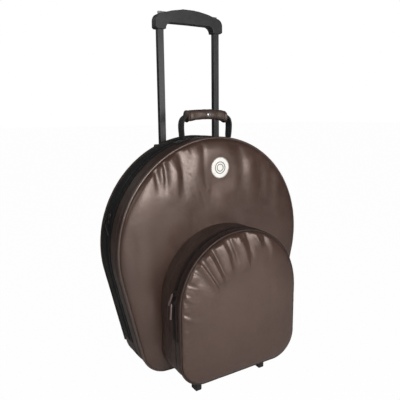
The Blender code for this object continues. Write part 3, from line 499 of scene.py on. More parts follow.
POCKET_FOLDS = [
    ([(-150, 409), (-123, 368), (-84, 303)], 6.2, 5.7, (0.08, 0.25), 1.2, 0.45),
    ([(-136, 416), (-103, 352), (-77, 303)], 4, -3, (0.08, 0.3), 1.2),
    ([(-126, 433), (-102, 385), (-70, 310)], 13.6, 7.2, (0.08, 0.25), 1.2, 0.45),
    ([(-104, 436), (-85, 390), (-56, 318)], 4, -3, (0.08, 0.35), 1.2),
    ([(-82, 448), (-61, 401), (-46, 325)], 18.5, 7.7, (0.08, 0.3), 1.2, 0.45),
    ([(-50, 453), (-29, 401), (-17, 360)], 5, -3, (0.08, 0.4), 1.4),
    ([(-32, 457), (-8, 413), (12, 340)], 18.5, 7.7, (0.08, 0.3), 0.7, 0.45),
    ([(8, 454), (20, 402), (26, 365)], 6, -3, (0.1, 0.5), 1.4),
    ([(33, 455), (44, 429), (58, 398)], 6.7, 5.2, (0.1, 0.4), 1.1, 0.45),
    ([(65, 446), (72, 393)], 6, -2.2, (0.1, 0.5), 1.3),
    ([(85, 436), (95, 389), (92, 355)], 9, 2.2, (0.1, 0.5), 1.2),
    ([(120, 412), (126, 370)], 8, -1, (0.1, 0.5), 1.2),
    ([(-173, 367), (-155, 350), (-135, 338)], 9, 2.8, (0.1, 0.6), 1.3),
    ([(-184, 344), (-162, 334), (-140, 326)], 4, -2.2, (0.1, 0.6), 1.2),
    ([(-190, 323), (-175, 305), (-160, 288)], 5, 2.8, (0.1, 0.5), 1.2),
    ([(-191, 309), (-172, 285)], 4.5, -2, (0.1, 0.6), 1.2),
    ([(-192, 299), (-180, 275), (-170, 262)], 5, 2.6, (0.1, 0.6), 1.2),
    ([(-192, 266), (-158, 250)], 4.5, -1.8, (0.1, 0.6), 1.2),
    ([(-192, 254), (-151, 239)], 5, 2, (0.1, 0.6), 1.2),
    ([(-192, 215), (-165, 205)], 6, 1.2, (0.1, 0.6), 1.2),
    ([(-152, 335), (-117, 307), (-80, 270)], 14, 2.2, (0.15, 0.5), 1.2),
]


def crown_share(depth, reach):
    t = np.clip(depth / reach, 0, 1)
    return (1 - (1 - t) ** 2) ** 0.45


def gathers(s, depth, start, end, amount, reach, pitch, seed):
    """Small puckers along a stretch of the seam, where the cloth is pulled into it."""
    own = np.random.default_rng(seed)
    numbers = np.arange(400)
    phase = np.cumsum(own.uniform(0.65, 1.4, len(numbers)))
    marks = np.interp(s / pitch, numbers, phase)
    strength = np.interp(s / pitch, numbers, own.uniform(0.2, 1.0, len(numbers)))
    window = smoothstep((s - start) / 0.08) * smoothstep((end - s) / 0.08)
    waves = np.sin(math.tau * marks) * strength
    return amount * waves * window * np.exp(-depth / reach) * smoothstep(depth / 0.004)


def finer(grid):
    """A grid with twice as many rows and columns, on smooth curves through its points; its columns close."""
    before, after, later = (np.roll(grid, shift, 1) for shift in (1, -1, -2))
    between = (9 * (grid + after) - before - later) / 16
    wide = np.stack([grid, between], 2).reshape(grid.shape[0], -1, grid.shape[2])
    padded = np.concatenate([wide[:1], wide, wide[-1:]])
    middle = (9 * (padded[1:-2] + padded[2:-1]) - padded[:-3] - padded[3:]) / 16
    rows = np.empty((2 * len(wide) - 1, *wide.shape[1:]))
    rows[::2], rows[1::2] = wide, middle
    return rows


SIMULATED_FRAMES = 20


def simulate(points, growth, pressure=4.0, cap=0.005):
    """Lets a band of cloth swell and buckle between its held edges; gives how far each point moved."""
    rows, cols = points.shape[:2]
    cloth = build("simulated", points, grid_faces(rows, cols, False, True), [])
    pins = cloth.vertex_groups.new(name="held")
    pins.add(list(range(2 * cols)) + list(range((rows - 2) * cols, rows * cols)), 1, "REPLACE")
    grows = cloth.vertex_groups.new(name="grows")
    for index, weight in enumerate(growth.ravel()):
        grows.add([index], float(weight), "REPLACE")
    modifier = cloth.modifiers.new("cloth", "CLOTH")
    settings = modifier.settings
    settings.quality = 6
    settings.mass = 0.02
    settings.tension_stiffness = settings.compression_stiffness = 12
    settings.shear_stiffness = 4
    settings.bending_stiffness = 2.0
    settings.use_pressure = True
    settings.uniform_pressure_force = pressure
    settings.vertex_group_mass = "held"
    settings.vertex_group_shrink = "grows"
    settings.shrink_min = 0.0
    settings.shrink_max = -0.02
    settings.effector_weights.gravity = 0
    modifier.collision_settings.use_collision = False
    modifier.point_cache.frame_start, modifier.point_cache.frame_end = 1, SIMULATED_FRAMES
    for number in range(1, SIMULATED_FRAMES + 1):
        bpy.context.scene.frame_set(number)
    graph = bpy.context.evaluated_depsgraph_get()
    result = cloth.evaluated_get(graph).to_mesh()
    moved = np.empty(len(result.vertices) * 3)
    result.vertices.foreach_get("co", moved)
    moved = moved.reshape(points.shape) - points
    bpy.data.objects.remove(cloth)
    bpy.context.scene.frame_set(1)
    size = np.linalg.norm(moved, axis=-1, keepdims=True)
    return moved * np.tanh(size / cap) * cap / np.maximum(size, 1e-9)


def swollen(outer, s, growth):
    """The panel's outer skin after its simulation, which runs on every second point of its outer 120 mm."""
    rows = min(2 * ((len(outer) * 3 // 5) // 2) + 1, len(outer))
    coarse = outer[:rows:2, ::2]
    start, end = growth
    window = smoothstep((s - start) / 0.06) * smoothstep((end - s) / 0.06)
    depth_share = np.linspace(0, 1, len(coarse))[:, None]
    weights = (0.06 + 0.94 * window[None, ::2]) * smoothstep((1 - depth_share) / 0.5)
    moved = finer(simulate(coarse, weights))
    fade = smoothstep((1 - np.linspace(0, 1, rows)) / 0.35)[:, None, None]
    calm = 0.15 + 0.85 * window
    result = outer.copy()
    result[:rows] += moved[:rows, : outer.shape[1]] * fade * calm[None, :, None]
    return result


def panel(name, shape, spacing, rim_y, crown_y, wall, folds, gather, dome, seat=None):
    """A padded front: its outer skin bulges from the seam, gathers and folds; its inner skin is flatter.

    dome and seat are each x, z, a height and a radius: a swelling, and where the badge presses it flat.
    """
    s = shape.around(spacing)
    insets = PANEL_RIM + np.array([0, 0.0006, 0.0014, 0.0026, 0.0042, 0.0062, 0.0086])
    insets = np.concatenate([insets, np.arange(PANEL_RIM + 0.0116, 0.064, spacing)])
    flat, depths = inward_rings(shape, s, insets, np.array([0, shape.centre - 0.03]), spacing)
    depth = depths[:, None] + np.zeros(flat.shape[:2])
    x, z = flat[..., 0], flat[..., 1]
    full_rise = abs(crown_y - rim_y)
    dome_x, dome_z, dome_rise, dome_reach = dome
    height = dome_rise * (1 - smoothstep(np.hypot(x - dome_x, z - dome_z) / dome_reach))
    for line in folds:
        height += fold(x, z, *line)
    along = np.broadcast_to(s[None], x.shape)
    for options in gather:
        height += gathers(along, depth, *options)
    height += wander(x, 0, z, 9.0, 3.1) * 0.0016 * smoothstep(depth / 0.03)
    deepest = wall * 0.55
    height = np.where(height < 0, -deepest * np.tanh(-height / deepest), height)
    height *= smoothstep(depth / 0.006)
    outer = np.stack([x, rim_y - crown_share(depth, PANEL_REACH) * full_rise - height, z], -1)
    outer = swollen(outer, s, gather[0][:2])
    outer[..., 1] = np.minimum(outer[..., 1], rim_y + 0.0005)
    if seat:
        seat_x, seat_z, seat_y, seat_radius = seat
        off = np.hypot(outer[..., 0] - seat_x, outer[..., 2] - seat_z) - seat_radius
        outer[..., 1] = seat_y + (outer[..., 1] - seat_y) * smoothstep(off / 0.060)
    inner_y = rim_y - crown_share(np.maximum(depths - wall, 0.0), PANEL_REACH) * (full_rise - wall)
    inner = np.stack([x, np.broadcast_to(inner_y[:, None], x.shape), z], -1)
    inner = np.concatenate([inner[:1], inner[int(np.searchsorted(depths, wall)) :: 3]])
    rows = np.concatenate([outer[::-1], inner])
    count = len(s)
    lined = np.repeat(np.arange(len(rows) - 1) >= len(outer), count)
    slots = np.concatenate([lined, np.zeros(count), np.ones(count)]).astype(np.int32)
    made = bun(name, rows, [outer[-1].mean(0), inner[-1].mean(0)], [brown, lining], slots)
    # painted highlight: how far each point of the outer skin is raised by folds, dome and gathers, full at 6
    # mm
    ridge_highlight = np.zeros(len(made.data.vertices), np.float32)
    ridge_highlight[: height.size] = np.clip(height[::-1].ravel() / 0.006, 0, 1)
    made.data.attributes.new("ridge_highlight", "FLOAT", "POINT").data.foreach_set("value", ridge_highlight)
    return made


# Each gather: where it starts and ends along the outline, its depth, reach and pitch, and its seed
front_panel = panel(
    "front_panel_cover",
    BAG,
    spacing=0.0034,
    rim_y=-0.0180,
    crown_y=FRONT_CROWN_Y,
    wall=0.008,
    folds=MAIN_FOLDS,
    gather=[
        (BAG.length * 0.51, BAG.length * 0.63, 0.0009, 0.010, 0.016, 5),
        (0.05, BAG.length - 0.05, 0.0003, 0.007, 0.017, 6),
    ],
    dome=(0.02, 0.47, 0.0045, 0.30),
    seat=(0, 0.608, -0.0392, 0.031),
)
dress(front_panel, "lid", ["front_panel"])

pocket_front = panel(
    "pocket_front_cover",
    POCKET,
    spacing=0.0028,
    rim_y=-0.1400,
    crown_y=POCKET_CROWN_Y,
    wall=0.005,
    folds=POCKET_FOLDS,
    gather=[
        (POCKET.length * 0.44, POCKET.length * 0.83, 0.0012, 0.010, 0.012, 8),
        (0.05, POCKET.length - 0.05, 0.0005, 0.006, 0.014, 9),
    ],
    dome=(0.03, 0.22, 0.0070, 0.27),
)
dress(pocket_front, FLAP_BEND, ["pocket_lower_panel", "pocket_flap_panel"])


# ---------------------------------------------------------------- piping


def bead_section(half_flange=0.0009, flange=0.010, steps=14):
    """The piping's cord and its flange, as insets and depths from its plane."""
    turn = np.linspace(math.radians(22), math.radians(338), steps)
    inset = BEAD - BEAD * -np.cos(turn)
    depth = BEAD * np.sin(turn)
    inset = np.concatenate([inset, [flange, flange]])
    depth = np.concatenate([depth, [-half_flange, half_flange]])
    return inset, depth


def piping(name, shape, plane, s, closed, materials):
    """Piping along an outline, its cover drawn a little unevenly over the cord."""
    inset, depth = bead_section()
    ripple_pitch = 0.0052
    ripple = 0.05 * np.sin(math.tau * s / ripple_pitch)[:, None]
    pull = 1 + ripple + 0.05 * wander(s, 0.0, plane, 60.0)[:, None]
    cord = np.arange(len(inset)) < len(inset) - 2
    inset_grid = np.where(cord[None], BEAD + (inset - BEAD)[None] * pull, inset[None])
    inset_grid = np.maximum(inset_grid, 0.0001)
    depth_grid = np.where(cord[None], depth[None] * pull, depth[None])
    return swept(name, shape, s, inset_grid, plane + depth_grid, materials, closed)


_, housing_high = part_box("wheel_housing_left")
s_top = BAG.at_height(housing_high.z + HOUSING_ROOM)
s_rear = np.linspace(s_top, BAG.length - s_top, int(BAG.length / 0.0026))
low_half = abs(housing_high.x) - HOUSING_ROOM
s_low = np.mod(np.linspace(-low_half, low_half, 90), BAG.length)
dress(
    piping("front_piping_cord", BAG, FRONT_PIPING_Y, BAG.around(0.0022), True, [piping_vinyl]),
    "lid",
    ["front_piping"],
)
dress(
    piping("pocket_piping_cord", POCKET, POCKET_PIPING_Y, POCKET.around(0.0020), True, [dark_piping]),
    FLAP_BEND,
    ["pocket_lower_piping", "pocket_flap_piping"],
)
for name, s, replaced in (
    ("rear_piping_cord", s_rear, "rear_piping"),
    ("rear_piping_low_cord", s_low, "rear_piping_bottom"),
):
    cord = piping(name, BAG, REAR_PIPING_Y, s, False, [dark_piping])
    dress(cord, "back_shell", [replaced])


# ---------------------------------------------------------------- gussets


def gusset(
    name,
    shape,
    s,
    low_y,
    high_y,
    inner,
    cloth,
    under,
    seams=(),
    bulge=0.0008,
    waves=0.0011,
    seed=1.0,
    ends=None,
):
    """A padded band round the bag: cloth with seams and soft waves, flat under its zip's tape, and lined."""
    fine_rows = [seam + np.arange(-0.0080, 0.0050, 0.0008) for seam, _ in seams]
    y_out = np.unique(np.round(np.concatenate([np.arange(low_y, high_y, 0.0022), *fine_rows]), 4))
    y_out = np.append(y_out[(y_out >= low_y) & (y_out < high_y - 0.0004)], high_y)
    y_in = np.linspace(high_y, low_y, 5)
    span = (y_out - low_y) / (high_y - low_y)
    inset_out = np.full_like(y_out, GUSSET_INSET)
    edges = [low_y] + [seam for seam, _ in seams] + [high_y]
    for a, b in zip(edges, edges[1:]):
        inside = (y_out >= a) & (y_out <= b)
        inset_out -= np.where(inside, bulge * np.sin(math.pi * (y_out - a) / (b - a)), 0)
    for seam, height in seams:
        inset_out -= height * np.exp(-(((y_out - seam) / 0.0016) ** 2))
        inset_out += 0.5 * height * np.exp(-(((y_out - seam + 0.0042) / 0.0013) ** 2))
    points, _ = shape.at(s)
    wave = wander(points[:, :1], y_out[None] * 0.6, points[:, 1:], 16.0, seed) * waves
    fine = wander(points[:, :1], y_out[None] * 0.8, points[:, 1:], 55.0, seed) * waves * 0.35
    fade = np.clip(np.minimum(span, 1 - span) / 0.12, 0, 1)
    inset_grid = inset_out[None] + (wave + fine) * fade[None]
    hidden = (y_out > under[0]) & (y_out < under[1])
    inset_grid[:, hidden] = np.maximum(inset_grid[:, hidden], UNDER_TAPE_INSET)
    rows_in = np.full((len(s), len(y_in)), inner)
    y_grid = np.concatenate([np.tile(y_out, (len(s), 1)), np.tile(y_in, (len(s), 1))], 1)
    inset_grid = np.concatenate([inset_grid, rows_in], 1)
    if ends is not None:
        y_grid += (ends - high_y)[:, None] * smoothstep((y_grid - high_y + 0.020) / 0.020)
    cols = inset_grid.shape[1]
    side = (np.arange(cols) >= len(y_out) - 1).astype(np.int32)
    slots = np.tile(side, len(s))
    made = swept(name, shape, s, inset_grid, y_grid, [cloth, lining], True, 50, slots)
    return made


front_gusset = gusset(
    "front_gusset_cover",
    BAG,
    BAG.around(0.0042),
    low_y=-0.0113,
    high_y=MAIN_ZIP_Y - ZIP_GAP / 2,
    inner=GUSSET_LINING,
    cloth=brown_gusset,
    under=UNDER_MAIN_TAPE,
    seams=[(0.0050, 0.0017)],
)
dress(front_gusset, "lid", ["front_gusset"])
rear_gusset = gusset(
    "rear_gusset_cover",
    BAG,
    BAG.around(0.0042),
    low_y=MAIN_ZIP_Y + ZIP_GAP / 2,
    high_y=0.1065,
    inner=GUSSET_LINING,
    cloth=black_cloth,
    under=UNDER_MAIN_TAPE,
    seed=4.0,
)


def panel_surface(x, z):
    """How far forward the front panel's skin is at points of its plane."""
    skin = np.empty(len(front_panel.data.vertices) * 3)
    front_panel.data.vertices.foreach_get("co", skin)
    skin = skin.reshape(-1, 3)
    found = []
    for a, b in zip(x, z):
        near = np.hypot(skin[:, 0] - a, skin[:, 2] - b) < 0.006
        found.append(skin[near, 1].min() if near.any() else FRONT_CROWN_Y)
    return np.array(found)


pocket_s = POCKET.around(0.0038)
foot_line, _ = POCKET.at(pocket_s)
foot_line[:, 1] = np.maximum(foot_line[:, 1], 0.050)
pocket_foot = panel_surface(*foot_line.T)
for _ in range(3):
    pocket_foot = (np.roll(pocket_foot, 1) + pocket_foot + np.roll(pocket_foot, -1)) / 3
pocket_gusset = gusset(
    "pocket_gusset_cover",
    POCKET,
    pocket_s,
    low_y=POCKET_ZIP_Y + ZIP_GAP / 2,
    high_y=POCKET_BACK_Y,
    inner=POCKET_LINING,
    cloth=brown_gusset,
    under=UNDER_POCKET_TAPE,
    seams=[(-0.0700, 0.0008)],
    waves=0.0014,
    seed=7.0,
    ends=np.maximum(pocket_foot + 0.0008, POCKET_BACK_Y),
)
dress(pocket_gusset, "lid", ["pocket_gusset"])
pocket_band = gusset(
    "pocket_band_cover",
    POCKET,
    pocket_s,
    low_y=-0.1334,
    high_y=POCKET_ZIP_Y - ZIP_GAP / 2,
    inner=POCKET_LINING,
    cloth=brown_gusset,
    under=UNDER_POCKET_TAPE,
    bulge=0.0003,
    waves=0.0006,
    seed=9.0,
)
dress(pocket_band, FLAP_BEND, ["pocket_flap_strip"])


# ---------------------------------------------------------------- zips


def zip_half(name, shape, end_z, plane, towards, width, materials):
    """One side of a zip: a woven tape with a folded lip, and the base that its coil is sewn to."""
    s = shape.over_the_top(end_z, 0.0034)
    lip = 0.0046
    profile = [
        (0.0026, width),
        (0.0014, width - 0.0002),
        (0.0012, width - 0.0012),
        (0.0011, width * 0.66 + lip * 0.34),
        (0.0012, width * 0.33 + lip * 0.67),
        (0.0013, lip + 0.0016),
        (0.0006, lip + 0.0008),
        (0.0002, lip + 0.0002),
        (0.0006, lip - 0.0004),
        (0.0016, lip - 0.0006),
        (0.0017, 0.0006),
        (0.0026, 0.0004),
    ]
    inset, away = np.array(profile).T
    return swept(name, shape, s, inset, plane + towards * away, materials, False, 50)


COIL_PITCH = 0.0021


def coil(name, shape, end_z, plane, towards, shift):
    """The coil's turns, each a small rounded tooth that reaches towards the other side."""
    start = shape.at_height(end_z + 0.001)
    s = np.arange(start + shift, shape.length - start, COIL_PITCH)
    centre, normal = shape.at(s)
    tangent = np.stack([-normal[:, 1], normal[:, 0]], -1)
    half, near, far = 0.00072, 0.00035, 0.0040
    # inset, distance from the opening's middle, half length along the zip
    rings = [
        (0.0015, far, half * 0.8),
        (-0.0001, far - 0.0004, half),
        (-0.0005, (near + far) / 2, half),
        (-0.0001, near + 0.0003, half),
        (0.0006, near, half * 0.9),
        (0.0015, near + 0.0003, half * 0.8),
    ]
    verts = []
    for inset, away, reach in rings:
        for sign in (-1, 1):
            flat = centre - normal * inset + tangent * sign * reach
            y = np.full(len(s), plane + towards * away)
            verts.append(np.stack([flat[:, 0], y, flat[:, 1]], -1))
    verts = np.stack(verts, 1)
    per = len(rings) * 2
    starts = [(2 * k, 2 * ((k + 1) % len(rings))) for k in range(len(rings))]
    faces = np.array([(a, a + 1, b + 1, b) for a, b in starts])
    quads = (faces[None] + np.arange(len(s))[:, None, None] * per).reshape(-1, 4)
    ends = [np.arange(0, per, 2), np.arange(1, per, 2)[::-1]]
    caps = [tuple(end + i * per) for i in range(len(s)) for end in ends]
    return build(name, verts, quads, [coil_nylon], None, 40, None, caps)


def zip_side(prefix, shape, end_z, plane, side, width, cloth, body):
    """A tape and its coil; the rear coil's turns lie between the front one's."""
    towards, shift = (-1, 0.0) if side == "front" else (1, COIL_PITCH / 2)
    tape = zip_half(f"{prefix}_zip_tape_{side}", shape, end_z, plane, towards, width, [cloth])
    dress(tape, body, [f"{prefix}_zip_{side}"])
    dress(coil(f"{prefix}_zip_coil_{side}", shape, end_z, plane, towards, shift), body)


zip_side("main", BAG, ZIP_END_Z, MAIN_ZIP_Y, "front", FRONT_TAPE, tape_cloth, "lid")
zip_side("main", BAG, ZIP_END_Z, MAIN_ZIP_Y, "rear", REAR_TAPE, tape_cloth, "back_shell")
zip_side("pocket", POCKET, FLAP_Z + 0.0006, POCKET_ZIP_Y, "front", POCKET_TAPE, brown_tape, FLAP_BEND)
zip_side("pocket", POCKET, FLAP_Z + 0.0006, POCKET_ZIP_Y, "rear", POCKET_TAPE, brown_tape, "lid")


# ---------------------------------------------------------------- the hinge strip under the bag

s_hinge = BAG.at_height(ZIP_END_Z - 0.0008)
strip_s = np.mod(np.linspace(-s_hinge, s_hinge, 150), BAG.length)
strip_y = np.linspace(MAIN_ZIP_Y - FRONT_TAPE, MAIN_ZIP_Y + REAR_TAPE, 26)
strip_points, _ = BAG.at(strip_s)
dents = wander(strip_points[:, :1], strip_y[None], strip_points[:, 1:], 30.0, 2.0) * 0.0005
to_edge = np.minimum(strip_y - strip_y[0], strip_y[-1] - strip_y)
dents = dents * np.clip(to_edge / 0.006, 0, 1)[None]
strip_inset = np.concatenate([0.0012 + dents, np.full_like(dents, 0.0026)], 1)
both_y = np.tile(np.concatenate([strip_y, strip_y[::-1]]), (len(strip_s), 1))
dress(
    swept("hinge_strip", BAG, strip_s, strip_inset, both_y, [brown_gusset], False, 50),
    LID_BEND,
)


# ---------------------------------------------------------------- back panel


def with_room(obj, boxes):
    """Cuts boxes of room out of a piece, for what is fixed to it."""
    cutters = []
    for low, high in boxes:
        work = bmesh.new()
        bmesh.ops.create_cube(work, size=1)
        bmesh.ops.scale(work, vec=[b - a for a, b in zip(low, high)], verts=work.verts)
        bmesh.ops.translate(work, vec=[(a + b) / 2 for a, b in zip(low, high)], verts=work.verts)
        mesh = bpy.data.meshes.new("room")
        work.to_mesh(mesh)
        work.free()
        cutter = bpy.data.objects.new("room", mesh)
        bpy.context.scene.collection.objects.link(cutter)
        cutters.append(cutter)
        cut = obj.modifiers.new("room", "BOOLEAN")
        cut.operation = "DIFFERENCE"
        cut.object = cutter
    graph = bpy.context.evaluated_depsgraph_get()
    mesh = bpy.data.meshes.new_from_object(obj.evaluated_get(graph))
    obj.modifiers.clear()
    obj.data = mesh
    for cutter in cutters:
        bpy.data.objects.remove(cutter)


def housing_rooms():
    """The room that the two wheel housings need in the lower rear corners."""
    rooms = []
    for side in ("left", "right"):
        low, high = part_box(f"wheel_housing_{side}")
        start = (low.x - CUT_ROOM, low.y - CUT_ROOM, -0.02)
        rooms.append((start, (high.x + CUT_ROOM, BEHIND_Y, high.z + CUT_ROOM)))
    return rooms


with_room(rear_gusset, housing_rooms())
dress(rear_gusset, "back_shell", ["rear_gusset"])


TUBE_X = 0.0925
BACK_RIM_Y = 0.1150


def back_skin():
    """The padded back: it swells over the trolley's two tubes and is sewn across in channels."""
    spacing = 0.0042
    insets = PANEL_RIM + np.array([0, 0.0008, 0.002, 0.004, 0.0066, 0.0096])
    insets = np.concatenate([insets, np.arange(0.0195, 0.062, spacing)])
    middle = np.array([0, BAG.centre - 0.03])
    flat, depths = inward_rings(BAG, BAG.around(spacing), insets, middle, spacing, inward=57)
    depth = depths[:, None] + np.zeros(flat.shape[:2])
    x, z = flat[..., 0], flat[..., 1]
    rise = crown_share(depth, 0.070) * 0.0245
    relief = np.zeros_like(x)
    for tube_x in (-TUBE_X, TUBE_X):
        relief += 0.0024 * np.exp(-(((x - tube_x) / 0.018) ** 2)) * smoothstep((z - 0.10) / 0.05)
    for seam_z in (0.180, 0.300, 0.420, 0.540):
        relief -= 0.0032 * np.exp(-(((z - seam_z) / 0.005) ** 2)) * smoothstep((0.165 - abs(x)) / 0.02)
    relief += wander(x, 0, z, 11.0, 8.0) * 0.0014
    relief *= smoothstep(depth / 0.03)
    outer = np.stack([x, np.minimum(BACK_RIM_Y + rise + relief, BACK_LIMIT_Y), z], -1)
    inner = np.stack([x, BACK_RIM_Y + np.maximum(rise - 0.004, 0.0), z], -1)[::4]
    rows = np.concatenate([outer[::-1], inner])
    made = bun("back_panel_cover", rows, [outer[-1].mean(0), inner[-1].mean(0)], [brown])
    low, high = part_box("trolley_bezel")
    notch = ((low.x - CUT_ROOM, low.y - 0.02, low.z - CUT_ROOM), (high.x + CUT_ROOM, BEHIND_Y, 0.75))
    with_room(made, housing_rooms() + [notch])
    return made


dress(back_skin(), "back_shell", ["back_panel"])


# ---------------------------------------------------------------- stitches


def stitches(name, points, outward, material, pitch=0.0046, length=0.0032, radius=0.00038, lift=0.0002):
    """A row of short stitches along a line of points, each a slim rounded loop that dips at its ends."""
    points = np.asarray(points, float)
    outward = np.asarray(outward, float)
    steps = np.linalg.norm(np.diff(points, axis=0), axis=1)
    run = np.concatenate([[0], np.cumsum(steps)])
    marks = np.arange(pitch / 2, run[-1] - pitch / 2, pitch)

    def follow(where):
        return np.stack([np.interp(where, run, points[:, k]) for k in range(3)], -1)

    up = np.stack([np.interp(marks, run, outward[:, k]) for k in range(3)], -1)
    up /= np.linalg.norm(up, axis=1)[:, None]
    ahead = follow(marks + length / 2) - follow(marks - length / 2)
    ahead /= np.linalg.norm(ahead, axis=1)[:, None]
    side = np.cross(up, ahead)
    # where along the stitch, how thick and how high
    bends = ((-0.5, 0.35, -0.5), (-0.34, 0.9, 0.3), (0.0, 1.0, 0.6), (0.34, 0.9, 0.3), (0.5, 0.35, -0.5))
    verts = []
    for share, size, rise in bends:
        centre = follow(marks + share * length) + up * (lift + rise * radius)
        for turn in np.linspace(0, math.tau, 6, endpoint=False):
            verts.append(centre + (side * math.cos(turn) + up * math.sin(turn)) * radius * size)
    per = len(verts)
    first = np.arange(len(marks)) * per
    quads = (grid_faces(5, 6, False, True)[None] + first[:, None, None]).reshape(-1, 4)
    ends = (5 - np.arange(6), per - 6 + np.arange(6))
    caps = [(start + end).tolist() for start in first for end in ends]
    return build(name, np.stack(verts, 1), quads, [material], None, None, None, caps)


def seam_line(shape, s, inset, y):
    """Points and outward directions of a seam on a band."""
    flat, normal = shape.at(s)
    outward = np.stack([normal[:, 0], np.zeros(len(s)), normal[:, 1]], -1)
    return np.stack([flat[:, 0], np.full(len(s), y), flat[:, 1]], -1) - outward * inset, outward


ring_bag = np.append(BAG.around(0.004), BAG.length)
ring_pocket = np.append(POCKET.around(0.004), POCKET.length)
over_bag = BAG.over_the_top(ZIP_END_Z + 0.002, 0.004)
over_pocket = POCKET.over_the_top(FLAP_Z + 0.004, 0.004)
for name, shape, s, inset, y, body in (
    ("front_gusset_stitches", BAG, ring_bag, 0.0030, 0.0010, "lid"),
    ("tape_stitches_front", BAG, over_bag, 0.0011, 0.0402, "lid"),
    ("tape_stitches_front_inner", BAG, over_bag, 0.0011, 0.0560, "lid"),
    ("tape_stitches_rear", BAG, over_bag, 0.0011, 0.0968, "back_shell"),
    ("tape_stitches_rear_inner", BAG, over_bag, 0.0011, 0.0700, "back_shell"),
    ("pocket_gusset_stitches", POCKET, ring_pocket, 0.0026, -0.0664, "lid"),
    ("pocket_tape_stitches", POCKET, over_pocket, 0.0011, -0.1022, "lid"),
    ("pocket_tape_stitches_front", POCKET, over_pocket, 0.0011, -0.1270, FLAP_BEND),
):
    cotton, slot = (seam_thread, "brown_vinyl") if "gusset" in name else (black_thread, "black_zip")
    dress(stitches(name, *seam_line(shape, s, inset, y), cotton), body)


# ---------------------------------------------------------------- sliders and pulls


def loft(work, rings):
    """A closed skin over rings of points."""
    rings = [[work.verts.new(point) for point in ring] for ring in rings]
    for one, two in zip(rings, rings[1:]):
        for k in range(len(one)):
            j = (k + 1) % len(one)
            work.faces.new((one[k], one[j], two[j], two[k]))
    work.faces.new(rings[0])
    work.faces.new(rings[-1][::-1])


def lofted(work, name, material, sharp, place):
    """The object made of a finished work mesh, moved to its place."""
    bmesh.ops.recalc_face_normals(work, faces=work.faces)
    work.transform(place)
    mesh = bpy.data.meshes.new(name)
    work.to_mesh(mesh)
    work.free()
    mesh.materials.append(material)
    mesh.shade_smooth()
    mesh.set_sharp_from_angle(angle=math.radians(sharp))
    made = bpy.data.objects.new(name, mesh)
    bpy.context.scene.collection.objects.link(made)
    return made


def slider(name, shape, angle, plane):
    """A slider's body: a rounded shield with a bridge for its pull, seated over the coil."""
    half_length, half_width = 0.008, 0.005
    base = shape.half_width + 0.0010
    outline = []
    for k in range(28):
        turn = math.tau * k / 28
        c, s = math.cos(turn), math.sin(turn)
        along = half_length * math.copysign(abs(c) ** 0.7, c)
        narrow = 1.0 - 0.22 * (along / half_length + 1) / 2
        outline.append((along, half_width * math.copysign(abs(s) ** 0.6, s) * narrow))
    work = bmesh.new()
    levels = ((0.0, 0.94), (0.0004, 1.0), (0.0014, 1.0), (0.0021, 0.90), (0.0023, 0.78))
    shield = [[(base + up, w * size, a * size) for a, w in outline] for up, size in levels]
    loft(work, shield)
    # the bridge: an arched bar along the slider
    wide, thick, bridge_length = 0.0014, 0.0006, 0.0115
    section = ((-1, -0.7), (1, -0.7), (1, 0.3), (0.7, 0.6), (-0.7, 0.6), (-1, 0.3))
    bridge = []
    for k in range(11):
        up = base + 0.0020 + 0.0032 * math.sin(math.pi * k / 10) ** 0.6
        along = (k / 10 - 0.5) * bridge_length
        bridge.append([(up + thick * sy, wide * sx, along) for sx, sy in section])
    loft(work, bridge)
    place = Matrix.Translation((0, plane, shape.centre)) @ Matrix.Rotation(-math.radians(angle), 4, "Y")
    dress(lofted(work, f"{name}_body", slider_metal, 38, place), name, [name])


def pull(name, width, length, tilt, material, slot):
    """A pull on its slider's pivot: a slim neck and a rounded tab with a raised edge."""
    thick, half, neck, steps = 0.0018, width / 2, 0.001, 26
    neck_low = half * math.tan(abs(tilt)) + neck
    profile = [(0.0003, neck * 0.8), (0.0, neck), (-neck_low * 0.9, neck * 0.95)]
    for k in range(steps + 1):
        down = neck_low + (length - neck_low) * k / steps
        wide = neck + (half - neck) * float(smoothstep((down - neck_low) / 0.0045))
        to_end = length - down
        if to_end < half:
            wide = min(wide, math.sqrt(max(half**2 - (half - to_end) ** 2, 0.0)) + 0.0002)
        profile.append((-down, wide))
    edge = ((-1, -0.5), (-0.92, -1), (-0.55, -0.8), (0.55, -0.8), (0.92, -1), (1, -0.5))
    section = edge + tuple((-x, -y) for x, y in edge)
    work = bmesh.new()
    loft(work, [[(sy * thick / 2, sx * wide, z) for sx, sy in section] for z, wide in profile])
    pivot = joints[f"{name}_swing"]["pos_m"]
    place = Matrix.Translation(pivot) @ Matrix.Rotation(tilt, 4, "X")
    dress(lofted(work, f"{name}_tab", material, 50, place), name, [name])


slider("main_slider_upper", BAG, 161.5, MAIN_ZIP_Y)
slider("main_slider_lower", BAG, 165.2, MAIN_ZIP_Y)
slider("pocket_slider_upper", POCKET, 166.0, POCKET_ZIP_Y)
slider("pocket_slider_lower", POCKET, 174.0, POCKET_ZIP_Y)
pull("main_pull_upper", 0.006, 0.037, math.radians(45), pull_dark, "slider_metal")
pull("main_pull_lower", 0.006, 0.037, math.radians(-38), pull_dark, "slider_metal")
pull("pocket_pull_upper", 0.005, 0.0455, math.radians(30), pull_pale, "pull_cord")
pull("pocket_pull_lower", 0.005, 0.0455, math.radians(9), pull_pale, "pull_cord")


# ---------------------------------------------------------------- badge


def lathe(profile, centre, steps, axis):
    """Points of (radius, depth) pairs turned round an axis through a centre."""
    radius, depth = np.array(profile, float).T
    turn = np.linspace(0, math.tau, steps, endpoint=False)[:, None]
    a, b = radius * np.cos(turn), radius * np.sin(turn)
    depth = np.broadcast_to(depth, a.shape)
    return np.stack([a, depth, b] if axis == "Y" else [depth, a, b], -1) + np.asarray(centre)


